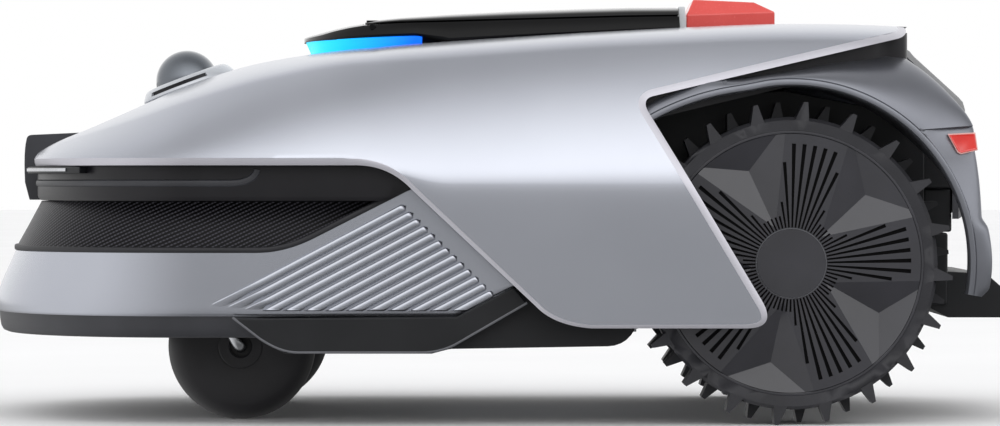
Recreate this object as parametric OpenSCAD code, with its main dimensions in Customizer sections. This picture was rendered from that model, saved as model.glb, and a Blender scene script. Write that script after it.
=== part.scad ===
// Robotic lawn mower with a lidar dome, edge-shifting cutting deck and lugged drive wheels.
// Millimetres. Front is -X, left side is -Y, +Z is up. The origin is on the ground under the middle.

/* [Overall] */
// Distance from the origin to the front tip and to the rear tip
half_length = 329.5; // [320:0.5:345]
// Half of the width over the hood flanks
half_width = 218; // [214:0.5:226]
// Wall thickness of the moulded shells
wall = 3; // [2:0.5:4]
// Gap between a shell and the piece beside it
seam = 0.5; // [0.3:0.1:1]
// Running clearance of shafts in their bores, on the radius
run_fit = 0.05; // [0.02:0.01:0.1]
// Air gap between moving pieces
air = 1.5; // [1:0.5:3]
// Depth of the rounded nose, from the front tip to the straight sides
nose_depth = 144.5; // [138:0.5:150]
// Roundness of the nose seen from above
plan_power = 2.3; // [2:0.1:2.8]

/* [Hood] */
// Distance of the hood tip behind the bumper tip
hood_back = 23.5; // [20:0.5:27]
// Rear end of the hood, behind the origin
hood_rear = 268; // [264:1:272]
// Height of the lower edge of the hood rim
rim_low_z = 160.5; // [159:0.5:162]
// Height of the bend in the side flank
flank_bend_z = 150; // [146:0.5:156]
// Height of the crease over the rim
rim_top_z = 165; // [164:0.5:167]
// Height of the roof line at the front tip
roof_front_z = 166; // [165.5:0.5:169]
// Rise of the roof line over the nose
roof_rise = 75; // [72:0.5:78]
// Distance over which the nose rises
roof_run = 252; // [240:1:262]
// Fullness of the nose curve
roof_power = 2.1; // [1.8:0.1:2.4]
// Further rise of the roof towards the rear
roof_crown = 13; // [11:0.5:15]
// Lower edge of the side flank
flank_low_z = 60.6; // [58:0.2:63]

/* [Console] */
// Front tip of the raised console, ahead of the origin
console_front = 129; // [125:1:133]
// Rear end of the console and lid
console_rear = 115; // [113:0.5:116]
// Half width of the console
console_half_w = 88; // [84:1:92]
// Height of the lid over the console
lid_rise = 6.1; // [5:0.1:8]
// Half width of the lid
lid_half_w = 78; // [75:1:80]
// Radius of the lid hinge pin
hinge_pin_r = 2; // [1.5:0.1:2.5]
// Angle that the lid opens to
lid_open = 70; // [50:5:75]
// Length of the stop button
stop_len = 57; // [50:1:60]
// Half width of the stop button
stop_half_w = 38; // [34:1:42]
// Height of the top of the stop button
stop_top_z = 269.8; // [268:0.2:271]
// Travel of the stop button
stop_travel = 4; // [2:0.5:5]
// Side of a control key
key_w = 22; // [18:1:24]
// Travel of a control key
key_travel = 1.5; // [1:0.5:2]

/* [Sensors] */
// Distance of the lidar dome behind the hood tip
lidar_back = 100; // [94:1:106]
// Radius of the lidar dome
dome_r = 20.5; // [19:0.5:22]
// Radius of the ring under the dome
lidar_ring_r = 30.5; // [28:0.5:33]
// Slope of the ring, following the hood
lidar_tilt = 20.5; // [18:0.5:23]
// Half width of the camera housing
camera_half_w = 34; // [30:1:40]
// Radius of a camera lens
lens_r = 8; // [6:0.5:9]

/* [Bumper] */
// Inset of the bumper skirts from the flanks
bumper_in = 18; // [16:0.5:22]
// Lower edge of the dark band
band_low_z = 54; // [52:0.5:56]
// Lower edge of the silver bumper
bumper_low_z = 67.4; // [65:0.2:70]
// Upper edge of the silver bumper
bumper_top_z = 106.5; // [104:0.5:109]
// Lean of the silver front face
bumper_lean = 10; // [8:0.5:12]
// Height of the rubber lip
lip_h = 3.4; // [2.5:0.1:4]
// Upper edge of the carbon panel
carbon_top_z = 138; // [136:0.5:140]
// Lean of the carbon panel at the front
carbon_lean = 19; // [16:0.5:22]
// Travel of the bumper when it is pushed
bumper_travel = 6; // [3:0.5:8]
// Number of diagonal ribs on each skirt
rib_count = 13; // [9:1:15]
// Slope of the ribs
rib_slope = 27.8; // [24:0.2:32]
// Height of the ribs over the skirt
rib_h = 1.2; // [0.6:0.1:1.6]

/* [Drive wheels] */
// Axle position behind the origin
axle_x = 180; // [176:1:184]
// Radius over the lugs, which is also the height of the axle
wheel_r = 100; // [98:0.5:103]
// Radius of the tyre between the lugs
tyre_r = 90.4; // [88:0.2:92]
// Radius of the rim inside the tyre
rim_r = 82; // [80:0.5:84]
// Inset of the outer wheel face from the flanks
wheel_in = 25; // [23:0.5:28]
// Width of the tyre
tyre_w = 54; // [48:1:56]
// Number of lugs in each of the two rows
lug_count = 20; // [16:1:24]
// Thickness of a lug at its root
lug_root = 8.6; // [7:0.2:10]
// Thickness of a lug at its tip
lug_tip = 2.6; // [2:0.2:4]
// Radius of the star cover
cover_r = 80; // [78:0.5:81]
// Depth of the star valleys
valley_depth = 7; // [4:0.5:8]
// Radius of the deepest point of a valley
valley_r = 62.6; // [58:0.2:66]
// Number of slots in one fifth of the cover
slots_per_arm = 14; // [10:2:14]
// Radius of the centre cap
cap_r = 21.2; // [20:0.2:21.6]
// Radius of the drive axle
axle_r = 8; // [6:0.5:9]
// Radius of the wheel arch
arch_r = 109.4; // [108:0.2:112]

/* [Casters] */
// Swivel axis ahead of the origin
swivel_x = 192; // [188:1:196]
// Trail of the wheel behind its swivel
caster_trail = 28; // [22:1:32]
// Inset of the casters from the sides of the chassis
caster_in = 80; // [76:1:86]
// Radius of the caster wheel
caster_r = 46.4; // [44:0.2:48]
// Width of the caster wheel
caster_w = 40; // [34:1:42]
// Radius of the caster hub
caster_hub_r = 16; // [14:0.5:18]
// Radius of the bent strut
strut_r = 4; // [3:0.5:5]
// Radius of the swivel stem
stem_r = 6; // [5:0.5:7]

/* [Cutting deck] */
// Centre of the blade disc behind the origin
deck_x = 12; // [8:1:16]
// Inset of the blade tips from the sides of the chassis tail
blade_in = 28; // [26:1:32]
// Reach of the blades past the disc
blade_reach = 20; // [16:1:22]
// Height of the disc over the ground at rest
disc_z = 56; // [52:1:60]
// Sideways shift of the deck
deck_shift = 40; // [30:1:42]
// How far the deck lowers
deck_lower = 25; // [15:1:26]
// How far the deck rises
deck_raise = 15; // [8:1:16]
// Radius of the side rails
rail_r = 5; // [4:0.5:6]
// Radius of the lift guide rods
guide_r = 4; // [3:0.5:5]
// Radius of the cutting motor
motor_r = 30; // [26:1:33]

/* [Chassis] */
// Underside of the chassis
chassis_low_z = 45; // [42:0.5:48]
// Top of the chassis tray
chassis_top_z = 136; // [134:0.5:137]
// Inset of the chassis from the bumper skirts
chassis_in = 10; // [8:1:14]
// Gap between the tyres and the tail of the chassis
tail_gap = 11; // [9:1:16]
// Rear end of the chassis
chassis_rear_x = 270; // [264:1:272]
// Radius of a drive motor
drive_motor_r = 36; // [32:1:38]
// Lower edge of the rear skid
skid_low_z = 64; // [60:1:68]

/* [Hidden] */
$fn = 48;

// Shared places
plan_start_x = nose_depth - half_length;
hood_front = half_length - hood_back;
lidar_x = hood_front - lidar_back;
bumper_half_w = half_width - bumper_in;
wheel_face_y = half_width - wheel_in;
chassis_half_w = bumper_half_w - chassis_in;
tail_half_w = wheel_face_y - tyre_w - tail_gap;
caster_y = chassis_half_w - caster_in;
blade_tip_r = tail_half_w - blade_in;
disc_r = blade_tip_r - blade_reach;
chassis_back = 41.5;
chassis_front = half_length - chassis_back;
chassis_a = chassis_front + plan_start_x;
deck_half_w = chassis_half_w - 12;
deck_t = 4;
deck_top_z = chassis_top_z + deck_t;

// Curves
function qbez(p, q, r, n) = [for (i = [0:n]) let (t = i / n)
    (1 - t) * (1 - t) * p + 2 * t * (1 - t) * q + t * t * r];
function cbez(p, n) = [for (i = [0:n]) let (t = i / n, u = 1 - t)
    u * u * u * p[0] + 3 * u * u * t * p[1] + 3 * u * t * t * p[2] + t * t * t * p[3]];
function tail(list) = [for (i = [1:len(list) - 1]) list[i]];
function mirrored(half) = concat([for (i = [len(half) - 1:-1:1]) [-half[i].x, half[i].y]], half);

// Nose plan: a superellipse in front of plan_start_x, straight behind it
function plan_pt(a, b, phi) = [plan_start_x - a * pow(cos(phi), 2 / plan_power),
    sign(phi) * b * pow(abs(sin(phi)), 2 / plan_power)];
nose_steps = 12;
nose_angles = [for (i = [-nose_steps:nose_steps]) 90 * i / nose_steps];
function wrap(straight) = concat([[-90, straight]], [for (p = nose_angles) [p, 0]], [[90, straight]]);
function sector(p0, p1, n) = [for (i = [0:n]) [p0 + (p1 - p0) * i / n, 0]];
// A profile point is its inset at the front, its inset at the side, and its height
function on_plan(a, b, s, pt) = let (o = pt[1] + (pt[0] - pt[1]) * pow(cos(s[0]), 2),
    p = plan_pt(a - o, b - o, s[0])) [p.x + s[1], p.y, pt[2]];
function plan_grid(a, b, stations, profile) = [for (s = stations) [for (pt = profile) on_plan(a, b, s, pt)]];
function inset(profile, t) = [for (p = profile) [p[0] + t, p[1] + t, p[2]]];

// Closed shell between two grids of points with the same rows and columns
module grid_shell(outer, inner) {
    n = len(outer);
    m = len(outer[0]);
    k = n * m;
    pts = concat([for (row = outer) each row], [for (row = inner) each row]);
    skin = [for (i = [0:n - 2], j = [0:m - 2]) let (a = i * m + j, b = a + m) each
        [[a, b, b + 1], [a, b + 1, a + 1], [k + a, k + b + 1, k + b], [k + a, k + a + 1, k + b + 1]]];
    ends = [for (j = [0:m - 2]) let (e = (n - 1) * m + j) each
        [[j, j + 1, k + j + 1], [j, k + j + 1, k + j],
         [e + 1, e, k + e], [e + 1, k + e, k + e + 1]]];
    edges = [for (i = [0:n - 2]) let (a = i * m, b = a + m, c = a + m - 1, d = c + m) each
        [[b, a, k + a], [b, k + a, k + b], [c, d, k + d], [c, k + d, k + c]]];
    polyhedron(pts, concat(skin, ends, edges));
}
module nose_wall(a, b, stations, profile, thick = wall) {
    grid_shell(plan_grid(a, b, stations, profile), plan_grid(a, b, stations, inset(profile, thick)));
}
// Outline in X and Z, extruded on the left side between two distances from the middle
module side_plate(y0, y1, pts) {
    translate([0, -y0, 0]) rotate([90, 0, 0]) linear_extrude(y1 - y0) polygon(pts);
}
module both_sides() {
    children();
    mirror([0, 1, 0]) children();
}
module on_side(right) {
    mirror([0, right ? 1 : 0, 0]) children();
}
module along_y(y0, y1, r) {
    translate([0, y0, 0]) rotate([-90, 0, 0]) cylinder(h = y1 - y0, r = r);
}
module along_x(x0, x1, r) {
    translate([x0, 0, 0]) rotate([0, 90, 0]) cylinder(h = x1 - x0, r = r);
}
// Box that is as wide on the left as on the right
module slab(x0, x1, half_w, z0, z1) {
    translate([x0, -half_w, z0]) cube([x1 - x0, 2 * half_w, z1 - z0]);
}

// Hood
hood_a = hood_front + plan_start_x;
crown_start = -80;
crown_run = 300;
function roof_z(x) = roof_front_z + roof_rise * (1 - pow(max(0, 1 - (x + hood_front) / roof_run), roof_power))
    + (x > crown_start ? roof_crown * sin(90 * (x - crown_start) / crown_run) : 0);
// Half cross-section as shares of the half width and of the height over the rim
shoulder = [0.80, 0.85];
roof_curve = cbez([[0, 1], [0.50, 1], [0.74, 0.99], shoulder], 6);
side_curve = qbez(shoulder, [0.945, 0.51], [1, 0], 6);
half_section = concat(roof_curve, tail(side_curve));
// The crease over the rim sinks to the bend of the flank behind the rim
bend_from_x = -100;
bend_run = 70;
function ease(t) = let (u = min(1, max(0, t))) u * u * (3 - 2 * u);
function bend_z(x) = rim_top_z - (rim_top_z - flank_bend_z) * ease((x - bend_from_x) / bend_run);
rim_h = rim_top_z - rim_low_z;
function hood_ring(x, w, in) = let (zt = roof_z(x) - in, zr = bend_z(x) - in,
    top = [for (p = half_section) [w * p.x, zr + (zt - zr) * p.y]],
    half = concat(top, [[w, zr + in - rim_h], [w, flank_low_z - 2]]))
    [for (p = mirrored(half)) [x, p.x, p.y]];
hood_nose_angles = [8, 18, 28, 38, 48, 58, 68, 78, 90];
hood_stations = [-150, -110, -90, -70, -50, -30, 20, 70, 120, 170, 220, hood_rear];
function hood_grid(in) = concat(
    [for (p = hood_nose_angles) let (c = plan_pt(hood_a - in, half_width - in, p)) hood_ring(c.x, c.y, in)],
    [for (x = hood_stations) hood_ring(x, half_width - in, in)]);
// Side outline that the hood is trimmed to
flank_top = [-88, rim_low_z];
flank_bend = [-54, 145.6];
flank_knee = [22, 74.1];
flank_toe = [56, flank_low_z];
flank_heel = [170.6, flank_low_z];
arch_corner = [86, 202];
rim_mid = [139, 214];
rim_back = [250, 240];
over = 40;
nose_cut_z = [100, 240];
roof_cut_z = [200, 300];
hood_outline = concat([[-hood_front - over, rim_low_z]],
    qbez(flank_top, [-68, rim_low_z], flank_bend, 5),
    qbez(flank_knee, [33, 62.4], flank_toe, 6),
    qbez(flank_heel - [20, 0], flank_heel, flank_heel + [-10.6, 17.7], 6),
    qbez(arch_corner + [6, -9.7], arch_corner, arch_corner + [10, 1.6], 4),
    [rim_mid, rim_back, [hood_rear + over, 249], [hood_rear + over, roof_cut_z[1]],
     [-hood_front - over, roof_cut_z[1]]]);
bay_x0 = -78;
bay_x1 = 108;
bay_half_w = 66;
rear_bow = 18;
rear_corner = concat([for (y = [40:20:half_width + 2]) [hood_rear - rear_bow * pow(y / 200, 2.2), y]],
    [[hood_rear + 1, half_width + 2], [hood_rear + 1, 40]]);
module upper_shell() {
    color("silver") difference() {
        intersection() {
            grid_shell(hood_grid(wall), hood_grid(0));
            side_plate(-half_width - 1, half_width + 1, hood_outline);
        }
        slab(-hood_front - over, camera_back_x + seam, camera_half_w + seam, nose_cut_z[0], nose_cut_z[1]);
        slab(bay_x0, bay_x1, bay_half_w, roof_cut_z[0], roof_cut_z[1]);
        slab(stop_x0 - air, stop_x0 + stop_len + air, stop_half_w + air, roof_cut_z[0], roof_cut_z[1]);
        at_lidar() cylinder(h = 60, r = spigot_r + seam, center = true);
        both_sides() translate([0, 0, roof_cut_z[0]]) linear_extrude(roof_cut_z[1] - roof_cut_z[0])
            polygon(rear_corner);
    }
}

// Fascia under the hood rim
fascia_low_z = carbon_top_z + seam;
fascia_top_z = rim_low_z - seam;
fascia_front = hood_front - 3;
fascia_a = fascia_front + plan_start_x;
fascia_half_w = half_width - 13;
fascia_line_z = [147, 148, 151.5, 152.5];
fascia_line_h = 1.2;
fascia_end_x = -66;
fascia_profile = [[2, 0.5, fascia_low_z], [0, 0, fascia_low_z + 3], [0, 0, fascia_line_z[0]],
    [-fascia_line_h, -fascia_line_h, fascia_line_z[1]], [-fascia_line_h, -fascia_line_h, fascia_line_z[2]],
    [0, 0, fascia_line_z[3]], [0, 0, fascia_top_z]];
module front_fascia() {
    color("#26262b") difference() {
        union() {
            nose_wall(fascia_a, fascia_half_w, wrap(fascia_end_x - plan_start_x), fascia_profile);
            fascia_ledge();
        }
        slab(-hood_front - over, camera_back_x + seam, camera_half_w + seam, nose_cut_z[0], nose_cut_z[1]);
    }
}
// Ledge that carries the fascia on the inner deck
ledge_in = 12;
ledge_end_x = -88;
module fascia_ledge() {
    translate([0, 0, deck_top_z]) difference() {
        linear_extrude(wall)
            polygon(plan_outline(fascia_a - wall / 2, fascia_half_w - wall / 2, ledge_end_x));
        translate([0, 0, -1]) linear_extrude(wall + 2)
            polygon(plan_outline(chassis_a - ledge_in, deck_half_w - ledge_in, ledge_end_x + 1));
    }
}
function plan_outline(a, b, x_end) = concat([for (p = nose_angles) plan_pt(a, b, p)],
    [[x_end, b], [x_end, -b]]);

// Camera housing with two lenses
camera_front_x = -(hood_front + 4);
camera_back_x = camera_front_x + 36;
camera_top_z = 181;
camera_foot_x = -chassis_front + 1.5;
camera_outline = concat([[camera_front_x + 3, fascia_low_z]],
    qbez([camera_front_x, 150], [camera_front_x - 1, 170], [camera_front_x + 1, 178], 4),
    qbez([camera_front_x + 1, 178], [camera_front_x + 1.5, camera_top_z],
        [camera_front_x + 5, camera_top_z], 4),
    [[camera_back_x, camera_top_z + 1.5], [camera_back_x, deck_top_z], [camera_foot_x, deck_top_z],
     [camera_foot_x, fascia_low_z]]);
lens_y = 18;
lens_z = 164;
lens_depth = 6;
module lens_spots() {
    for (y = [-lens_y, lens_y]) translate([0, y, lens_z]) children();
}
module camera_housing() {
    color("#1b1b1f") difference() {
        side_plate(-camera_half_w, camera_half_w, camera_outline);
        lens_spots() along_x(camera_front_x - 2, camera_front_x + lens_depth, lens_r + seam);
    }
}
module camera_lenses() {
    color("#101018") lens_spots() intersection() {
        along_x(camera_front_x + 1, camera_front_x + lens_depth, lens_r);
        translate([camera_front_x + 1 + 2 * lens_r, 0, 0]) sphere(r = 2 * lens_r);
    }
}

// Charging contacts under the hood rim, one strip on each front corner
contact_angles = [14, 40];
contact_z = [155.5, fascia_top_z];
contact_reach = 6;
contact_t = 1;
holder_profile = [[-contact_reach, -contact_reach, contact_z[0]],
    [-contact_reach, -contact_reach, contact_z[1]]];
strip_z = [contact_z[0] + 1.2, contact_z[1] - 1];
strip_profile = [[-contact_reach - contact_t, -contact_reach - contact_t, strip_z[0]],
    [-contact_reach - contact_t, -contact_reach - contact_t, strip_z[1]]];
module contact_holders() {
    color("#4a4a50") both_sides()
        nose_wall(fascia_a, fascia_half_w, sector(contact_angles[0], contact_angles[1], 6), holder_profile,
            contact_reach - seam);
}
module contact_strips() {
    color("#c9cbd0") both_sides()
        nose_wall(fascia_a, fascia_half_w, sector(contact_angles[0] + 2, contact_angles[1] - 4, 6),
            strip_profile, contact_t - 0.2);
}

// Bumper: silver wall with ribbed skirts, rubber lip, carbon panel and dark band
bumper_a = half_length + plan_start_x;
bumper_profile = [[0, 0, bumper_low_z], [1.5, 0, bumper_low_z + 14], [bumper_lean, 0, bumper_top_z]];
skirt_knee = [plan_start_x + 45, bumper_top_z];
skirt_bend = [plan_start_x + 63.5, bumper_top_z + 4.5];
skirt_rise = [plan_start_x + 71, bumper_top_z + 9.3];
skirt_peak = [-54.4, 146];
skirt_heel = [-26.6, bumper_low_z];
skirt_tail = [8.5, 85.6];
skirt_top = [[plan_start_x, bumper_top_z], skirt_knee, skirt_bend, skirt_rise, skirt_peak];
skirt_outline = concat([[plan_start_x, bumper_low_z], skirt_heel, skirt_tail, skirt_tail + [14, 0.4],
    skirt_peak + [15, 3]], [for (i = [len(skirt_top) - 1:-1:0]) skirt_top[i]]);
// Ribs run from the bottom edge up to a line beside the flank edge
rib_low_z = bumper_low_z + 3;
rib_first_x = plan_start_x + 4;
rib_pitch = (skirt_heel.x + 0.4 - rib_first_x) / (rib_count - 1);
rib_line_x = -58;
rib_line_z = 136;
rib_w = 6.2;
function rib_end(x) = let (d = (rib_line_x + rib_line_z - x - rib_low_z) / (1 + tan(rib_slope))) max(0, d);
module rib(x) {
    run = rib_end(x);
    rise = run * tan(rib_slope);
    lean = rib_w * 0.6;
    side_plate(bumper_half_w - 0.5, bumper_half_w + rib_h, [[x, rib_low_z], [x + rib_w, rib_low_z],
        [x + rib_w + run - lean, rib_low_z + rise - lean * tan(rib_slope)], [x + run, rib_low_z + rise]]);
}
guide_y = 60;
guide_z = 98;
guide_pin_r = 4;
sleeve_r = 7;
sleeve_x = [-half_length + 10.5, -half_length + 31.5];
pin_x = [-half_length + 22.5, -chassis_front];
module at_guides() {
    for (y = [-guide_y, guide_y]) translate([0, y, guide_z]) children();
}
module front_bumper() {
    color("silver") {
        difference() {
            union() {
                nose_wall(bumper_a, bumper_half_w, wrap(0.6), bumper_profile);
                at_guides() along_x(sleeve_x[0], sleeve_x[1], sleeve_r);
            }
            at_guides() along_x(sleeve_x[0] + 4, sleeve_x[1] + 1, guide_pin_r + run_fit);
        }
        both_sides() side_plate(bumper_half_w - wall, bumper_half_w, skirt_outline);
        both_sides() for (i = [0:rib_count - 1]) rib(rib_first_x + i * rib_pitch);
    }
}
// Each guide is a pin on a bracket under the front of the chassis
guide_lug_x = [-chassis_front + 4, -chassis_front + 24];
guide_lug_w = 18;
module bumper_guides() {
    color("#b8bac0") at_guides() {
        along_x(pin_x[0], guide_lug_x[0] + 1, guide_pin_r);
        translate([guide_lug_x[0], -guide_lug_w / 2, -guide_lug_w / 2])
            cube([guide_lug_x[1] - guide_lug_x[0], guide_lug_w, front_low_z - guide_z + guide_lug_w / 2]);
    }
}
lip_profile = [[bumper_lean - 1.2, -0.6, bumper_top_z], [bumper_lean - 1.2, -0.6, bumper_top_z + lip_h]];
lip_shift = [-1.2, lip_h + 0.3];
module bumper_lip() {
    top = concat([for (p = skirt_top) p + (p == skirt_top[0] ? [0, lip_h] : lip_shift)]);
    color("#222226") nose_wall(bumper_a, bumper_half_w, wrap(0.6), lip_profile, wall + 3);
    color("#222226") both_sides() side_plate(bumper_half_w - wall, bumper_half_w + 0.6,
        concat(skirt_top, [for (i = [len(top) - 1:-1:0]) top[i]]));
}
carbon_low_z = bumper_top_z + lip_h;
carbon_profile = [[bumper_lean + 1, wall + 1.2, carbon_low_z],
    [bumper_lean + 1 + carbon_lean, wall + 11, carbon_top_z]];
module bumper_top() {
    color("#18181c") nose_wall(bumper_a, bumper_half_w, wrap(-50 - plan_start_x), carbon_profile);
}
band_profile = [[6, 6, band_low_z], [3, 3, band_low_z + 4], [2, 2, bumper_low_z]];
module bumper_band() {
    color("#3a3b3f") nose_wall(bumper_a, bumper_half_w, wrap(9), band_profile);
}

// Edge panel low on each side
panel_y = [bumper_half_w + rib_h + 0.6, bumper_half_w + rib_h + 4.4];
panel_low_z = chassis_low_z - 0.6;
panel_front = [-165, bumper_low_z - 1.2];
panel_back = [17.1, 75.2];
panel_outline = [panel_front, [-146.3, 51.8], [-131.8, panel_low_z], [-42, panel_low_z], [-30.9, 47.5],
    panel_back, skirt_tail, skirt_heel];
panel_seat = [[-110, panel_low_z + 1], [-44, panel_low_z + 1], [-32, 50], [-8, 62], [-110, 62]];
module edge_panel(right) {
    color("#2b2c30") on_side(right) {
        side_plate(panel_y[0], panel_y[1], panel_outline);
        side_plate(chassis_half_w, panel_y[0], panel_seat);
    }
}
module edge_panel_left() { edge_panel(false); }
module edge_panel_right() { edge_panel(true); }

// Console on the roof, with the bay for the controls under the lid
console_a = console_front - 50;
console_power = 2.2;
console_start_x = -50;
function console_w(x) = x > console_start_x ? 1 :
    pow(max(0, 1 - pow((console_start_x - x) / console_a, console_power)), 1 / console_power);
console_steps = 8;
console_bunch = 0.8;
function console_share(i) = pow(cos(90 * i / console_steps - 3), console_bunch);
console_xs = concat([for (i = [1:console_steps]) console_start_x - console_a * console_share(i)],
    [0, 60, console_rear]);
function console_top(x) = lookup(x, [[-console_front, 244.7], [-107, 250], [-87, 253.5], [-64, 254.5],
    [79, 258.5], [console_rear, 259]]);
console_lift_x = -54;
function console_low(x) = max(roof_z(x) + 0.3,
    lookup(x, [[-console_front, 241.5], [console_lift_x, 246], [console_lift_x + 30, 240]]));
across = [-1, -0.9, -0.6, -0.2, 0.2, 0.6, 0.9, 1];
crown_drop = 2.5;
function console_grid(top) = [for (x = console_xs) let (w = console_half_w * console_w(x)) [for (u = across)
    [x, w * u, top ? console_top(x) - crown_drop * u * u * u * u : console_low(x)]]];
lid_clear = 0.6;
module console() {
    color("#0c0c0f") difference() {
        grid_shell(console_grid(false), console_grid(true));
        slab(bay_x0, bay_x1, bay_half_w, roof_cut_z[0], roof_cut_z[1]);
        lid_hinge_axis() along_y(-lid_half_w - 4, lid_half_w + 4, hinge_pin_r + run_fit);
        slab(hinge_x - 7.5, bay_x0 + 1, lid_half_w - 4, hinge_z - 7, 300);
    }
}
// Light strip under the overhanging nose of the console
strip_inset = 5;
strip_t = 4;
light_xs = [for (i = [1:console_steps]) console_start_x - (console_a - strip_inset) * console_share(i)];
function light_grid(in) = concat(
    [for (i = [len(light_xs) - 1:-1:0]) light_col(light_xs[i], -1, in)],
    [for (x = light_xs) light_col(x, 1, in)]);
function light_col(x, s, in) = let (a = console_a - strip_inset - in,
    xi = console_start_x - (console_start_x - x) * a / (console_a - strip_inset),
    k = pow(max(0, 1 - pow((console_start_x - xi) / a, console_power)), 1 / console_power),
    y = s * (console_half_w - strip_inset - in) * k)
    [[xi, y, roof_z(xi) + 0.3], [xi, y, console_low(xi - 4) - 0.1]];
module light_strip() {
    color("#19b9ff") grid_shell(light_grid(0), light_grid(strip_t));
}

// Controls in the bay: panel, display and three keys
panel_z = 240;
panel_t = 3;
control_clear = 0.3;
key_xs = [20, 50, 80];
key_top_z = panel_z + panel_t + 3;
display_x = [-66, -4];
display_half_w = 40;
module control_panel() {
    color("#1a1a1e") difference() {
        union() {
            slab(bay_x0 + control_clear, bay_x1 - control_clear, bay_half_w - control_clear, panel_z,
                panel_z + panel_t);
            both_sides() translate([bay_x0 + control_clear, bay_half_w - control_clear - wall, panel_z])
                cube([bay_x1 - bay_x0 - 2 * control_clear, wall, 8]);
        }
        slab(display_x[0], display_x[1], display_half_w, panel_z + 1, panel_z + panel_t + 1);
        for (x = key_xs) slab(x - key_w / 2, x + key_w / 2, key_w / 2, panel_z - 1, panel_z + panel_t + 1);
    }
    color("#1a1a1e") for (x = key_xs) translate([x, 0, 0]) difference() {
        slab(-key_w / 2 - 2, key_w / 2 + 2, key_w / 2 + 2, panel_z - 6, panel_z);
        slab(-key_w / 2, key_w / 2, key_w / 2, panel_z - 4, panel_z + 1);
    }
}
module display_glass() {
    color("#08080c") slab(display_x[0] + 0.2, display_x[1] - 0.2, display_half_w - 0.2, panel_z + 1,
        panel_z + panel_t + 0.4);
}
module key(i) {
    half = key_w / 2 - control_clear;
    color("#4a4b52") translate([key_xs[i], 0, 0]) {
        slab(-half, half, half, panel_z - 4 + key_travel + 0.5, key_top_z - 1);
        translate([0, 0, key_top_z - 1]) linear_extrude(1) square(2 * half - 2, center = true);
    }
}
module key_power() { key(0); }
module key_start() { key(1); }
module key_home() { key(2); }

// Lid hinged at its front edge
hinge_x = -82;
hinge_z = 250;
lid_x = [-87, console_rear - 0.6];
lid_xs = [lid_x[0], -76, -60, -20, 40, 79, lid_x[1]];
function lid_top(x) = console_top(x) + lid_rise * lookup(x, [[lid_x[0], 0.18], [-64, 0.41], [79, 1],
    [console_rear, 0.82]]);
function lid_low(x) = console_top(x) + 0.4;
function lid_w(x) = lid_half_w - 14 * pow(max(0, (-60 - x) / 27), 2);
lid_across = [-1, -0.94, -0.5, 0, 0.5, 0.94, 1];
function lid_grid(top) = [for (x = lid_xs) [for (u = lid_across) let (e = abs(u) == 1 ? 1 : 0)
    [x, lid_w(x) * u, top ? lid_top(x) - (lid_top(x) - lid_low(x)) * 0.6 * e : lid_low(x)]]];
lid_ear_w = 8;
lid_ear_y = [40, 58];
module lid_hinge_axis() {
    translate([hinge_x, 0, hinge_z]) children();
}
module lid() {
    color("#0a0a0d") difference() {
        union() {
            grid_shell(lid_grid(false), lid_grid(true));
            for (y = lid_ear_y, s = [-1, 1]) lid_ear(s * y);
        }
        lid_hinge_axis() along_y(-lid_half_w, lid_half_w, hinge_pin_r + run_fit);
    }
}
module lid_ear(y) {
    translate([0, y - lid_ear_w / 2, 0]) {
        lid_hinge_axis() along_y(0, lid_ear_w, hinge_pin_r + 2.2);
        translate([hinge_x - hinge_pin_r - 2.2, 0, hinge_z]) cube([2 * hinge_pin_r + 4.4, lid_ear_w, 5]);
    }
}
module lid_hinge_pin() {
    color("#a9abb0") lid_hinge_axis() along_y(-lid_half_w - 3, lid_half_w + 3, hinge_pin_r);
}
trim_x = [console_rear + seam, console_rear + 6];
module trim_bar() {
    top = console_top(trim_x[0]) + 0.9 * lid_rise;
    color("#eceff2") slab(trim_x[0], trim_x[1], stop_half_w + 14, roof_z(trim_x[1]) + 0.3, top);
}

// Stop button behind the lid, on its switch
stop_x0 = trim_x[1] + 1;
stop_low_z = 248;
stop_chamfer = 6;
stop_stem_r = 7;
stop_stem_x = stop_x0 + stop_len / 2;
switch_z = [226, stop_low_z - stop_travel - 1];
module stop_button() {
    x1 = stop_x0 + stop_len;
    drop = 5;
    color("#e0463c") hull() {
        slab(stop_x0, x1, stop_half_w, stop_low_z, stop_top_z - 10);
        slab(stop_x0 + 1, x1 - stop_chamfer, stop_half_w - stop_chamfer, stop_low_z, stop_top_z - drop);
        slab(stop_x0 + 1, stop_x0 + stop_chamfer, stop_half_w - stop_chamfer, stop_low_z, stop_top_z);
    }
    color("#303036") translate([stop_stem_x, 0, switch_z[0] + stop_travel + 3])
        cylinder(h = stop_low_z + 1 - switch_z[0] - stop_travel - 3, r = stop_stem_r);
}
module stop_switch() {
    color("#303036") difference() {
        translate([stop_stem_x - 20, -22, switch_z[0]]) cube([40, 44, switch_z[1] - switch_z[0]]);
        translate([stop_stem_x, 0, switch_z[0] + 2]) cylinder(h = 60, r = stop_stem_r + run_fit);
    }
    color("#303036") both_sides() translate([stop_stem_x - 10, -70, switch_z[0]]) cube([20, 48, 4]);
    color("#303036") both_sides() translate([stop_stem_x - 10, -70, switch_z[0]])
        cube([20, 4, roof_z(stop_stem_x - 10) - wall - 1.2 - switch_z[0]]);
}

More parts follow.
